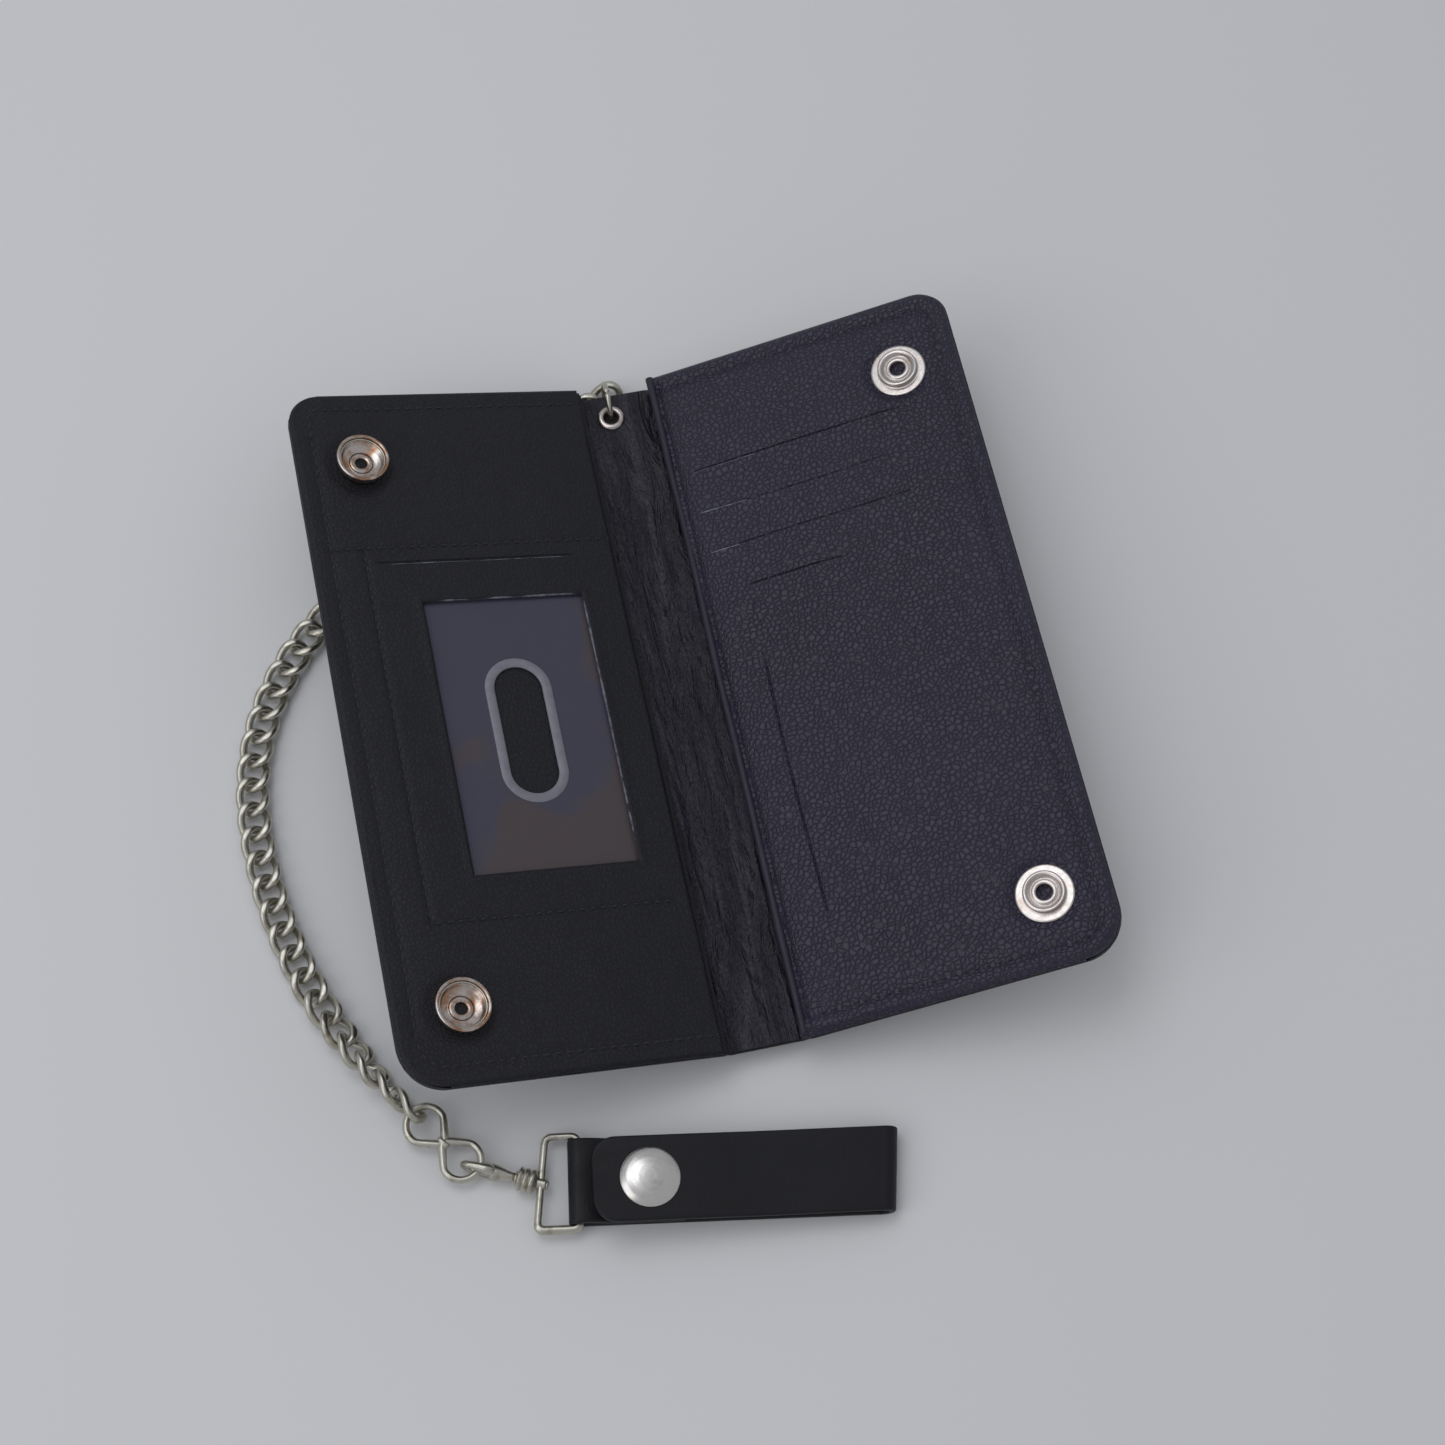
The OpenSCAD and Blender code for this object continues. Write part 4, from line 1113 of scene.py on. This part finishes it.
def strap():
    half_t = STRAP_T / 2
    low = 0.5 + half_t
    wrap = 0.98 + half_t
    # Lower layer from the fold to the loop, round the loop's bar and back under the stud.
    straight = np.stack([np.linspace(FLAP_HINGE_S, LOOP_S, 90), np.full(90, low)], -1)
    a = np.linspace(-90, -270, 24)[1:-1]
    bend = np.stack([LOOP_S + wrap * np.cos(np.radians(a)), LOOP_Z + wrap * np.sin(np.radians(a))], -1)
    back = np.stack([np.linspace(LOOP_S, 27, 40), np.full(40, LOOP_Z + wrap)], -1)
    back[:, 1] += (STUD_Z - half_t - LOOP_Z - wrap) * ramp(back[:, 0], LOOP_S, 13.5)
    line = np.concatenate([straight, bend, back])
    leather_strip("strap_lower", ribbon(line, -with_normals(line), STRAP_W / 2, STRAP_T), "strap", "strap_body")
    # Flap: rises from the fold to the press stud; its free end is cut with round corners.
    c, k = math.cos(FLAP_SLOPE), math.sin(FLAP_SLOPE)

    def flap_point(s, n):
        return np.stack([FLAP_SNAP_S + (s - FLAP_SNAP_S) * c + n * k, FLAP_LOW - (s - FLAP_SNAP_S) * k + n * c], -1)

    tip_s, tip_r = 5.8, 5.5
    corner = tip_s + tip_r * (1 - np.cos(np.linspace(0.02, math.pi / 2, 16)))
    s = np.concatenate([corner, np.linspace(tip_s + tip_r + 0.6, FLAP_HINGE_S, 70)])
    sag = 0.35 * bell(s - 46, 14)
    line = flap_point(s, half_t - sag)
    inside = np.clip((s - tip_s) / tip_r, 0, 1)
    half = STRAP_W / 2
    tip = (half - tip_r + tip_r * np.sqrt(1 - (1 - inside) ** 2)) / half
    flap = ribbon(line, with_normals(line), half, STRAP_T, tip, FLAP_SKEW)
    leather_strip("strap_upper", flap, "strap_flap", "strap_flap")
    # The fold: a short arc from the flap's end down to the lower layer.
    end = flap_point(FLAP_HINGE_S, half_t)
    mid_z, reach = (end[1] + low) / 2, (end[1] - low) / 2
    a = np.radians(np.linspace(90, -90, 26))
    arc = np.stack([FLAP_HINGE_S + 0.2 + reach * 1.15 * np.cos(a), mid_z + reach * np.sin(a)], -1)
    arc = np.vstack([[end[0] - 0.6, end[1] + 0.05], arc, [FLAP_HINGE_S - 0.6, low]])
    leather_strip("strap_bend", ribbon(arc, with_normals(arc), half, STRAP_T), "strap", "strap_fold")


def strap_snap():
    place, over = flap_matrix(), Matrix.Rotation(math.pi, 4, "X")
    cap = [(r * STRAP_CAP_D / 15, z) for r, z in CAP]
    head = [(0, 0.0), (1.0, 0.0), (4.4, 0.02), (4.85, 0.2), (4.9, 0.5)]
    foot = [standing(on_strap(*snap_on_strap(), z)) for z in (STUD_Z, 0.0)]
    rows = [
        ("cap", turned(cap, 0.3, 3, 96), place @ Matrix.Translation((0, 0, STRAP_T)) @ over, CAP_METAL, "strap_flap"),
        ("socket", turned(SOCKET, 0.2, 3, 72), place @ over, SNAP_METAL, "strap_flap"),
        ("stud", turned(STUD, 0.2, 3, 72), foot[0], SNAP_METAL, "strap"),
        ("post", turned(head, 0.1, 2, 64), foot[1], CAP_METAL, "strap"),
    ]
    for name, part, at, metal, body in rows:
        shown = "strap_post_head" if name == "post" else "strap_" + name
        piece(shown, moved(part, at), metal, body, "hardware_plate", "strap_snap_" + name)


# ---- floor, light, camera


def studio():
    floor_material = Nodes("pale floor")
    floor_material.set(Base_Color=(0.78, 0.78, 0.79), Roughness=0.75)
    bpy.ops.mesh.primitive_plane_add(size=6, location=(0, 0, -0.0002))
    floor = bpy.context.object
    floor.name = "floor"
    floor.data.materials.append(floor_material.material)
    world = bpy.data.worlds.new("studio")
    bpy.context.scene.world = world
    world.use_nodes = True
    world.node_tree.nodes["Background"].inputs["Color"].default_value = (0.93, 0.95, 1.0, 1)
    world.node_tree.nodes["Background"].inputs["Strength"].default_value = 0.42

    def area(name, at, aim, size, power, colour=(1, 1, 1)):
        data = bpy.data.lights.new(name, "AREA")
        data.shape = "RECTANGLE"
        data.size, data.size_y = size
        data.energy = power
        data.color = colour
        lamp = bpy.data.objects.new(name, data)
        bpy.context.scene.collection.objects.link(lamp)
        lamp.location = at
        lamp.rotation_mode = "QUATERNION"
        lamp.rotation_quaternion = (Vector(aim) - Vector(at)).to_track_quat("-Z", "Y")

    area("key", (-0.24, 0.27, 0.98), (0.05, 0, 0), (0.66, 0.52), 1.9, (0.93, 0.96, 1.0))
    area("fill", (-0.9, -0.3, 0.8), (0, 0, 0), (0.8, 0.8), 2.2)


def camera():
    data = bpy.data.cameras.new("camera")
    data.sensor_width = 36.0
    data.lens = 2588 / 1445 * 36.0
    data.clip_start, data.clip_end = 0.01, 20
    cam = bpy.data.objects.new("camera", data)
    bpy.context.scene.collection.objects.link(cam)
    right = Vector((0.9769, -0.2116, 0.0302)).normalized()
    back = Vector((-0.1113, -0.3832, 0.9169)).normalized()
    up = back.cross(right).normalized()
    right = up.cross(back)
    turn = Matrix((right, up, back)).transposed()
    cam.matrix_world = Matrix.Translation((-0.0651, -0.2555, 0.6010)) @ turn.to_4x4()
    bpy.context.scene.camera = cam
    bpy.context.scene.view_settings.view_transform = "Standard"


camera()
studio()
outer_skin(-1)
outer_skin(1)
spine_half(-1)
spine_half(1)
make_panels()
make_threads()
highlight_lips_and_rolled_edge()
hidden_parts()
window_pocket()
press_studs()
eyelet()
jump_ring()
figure_eight(chain())
swivel()
strap()
strap_snap()
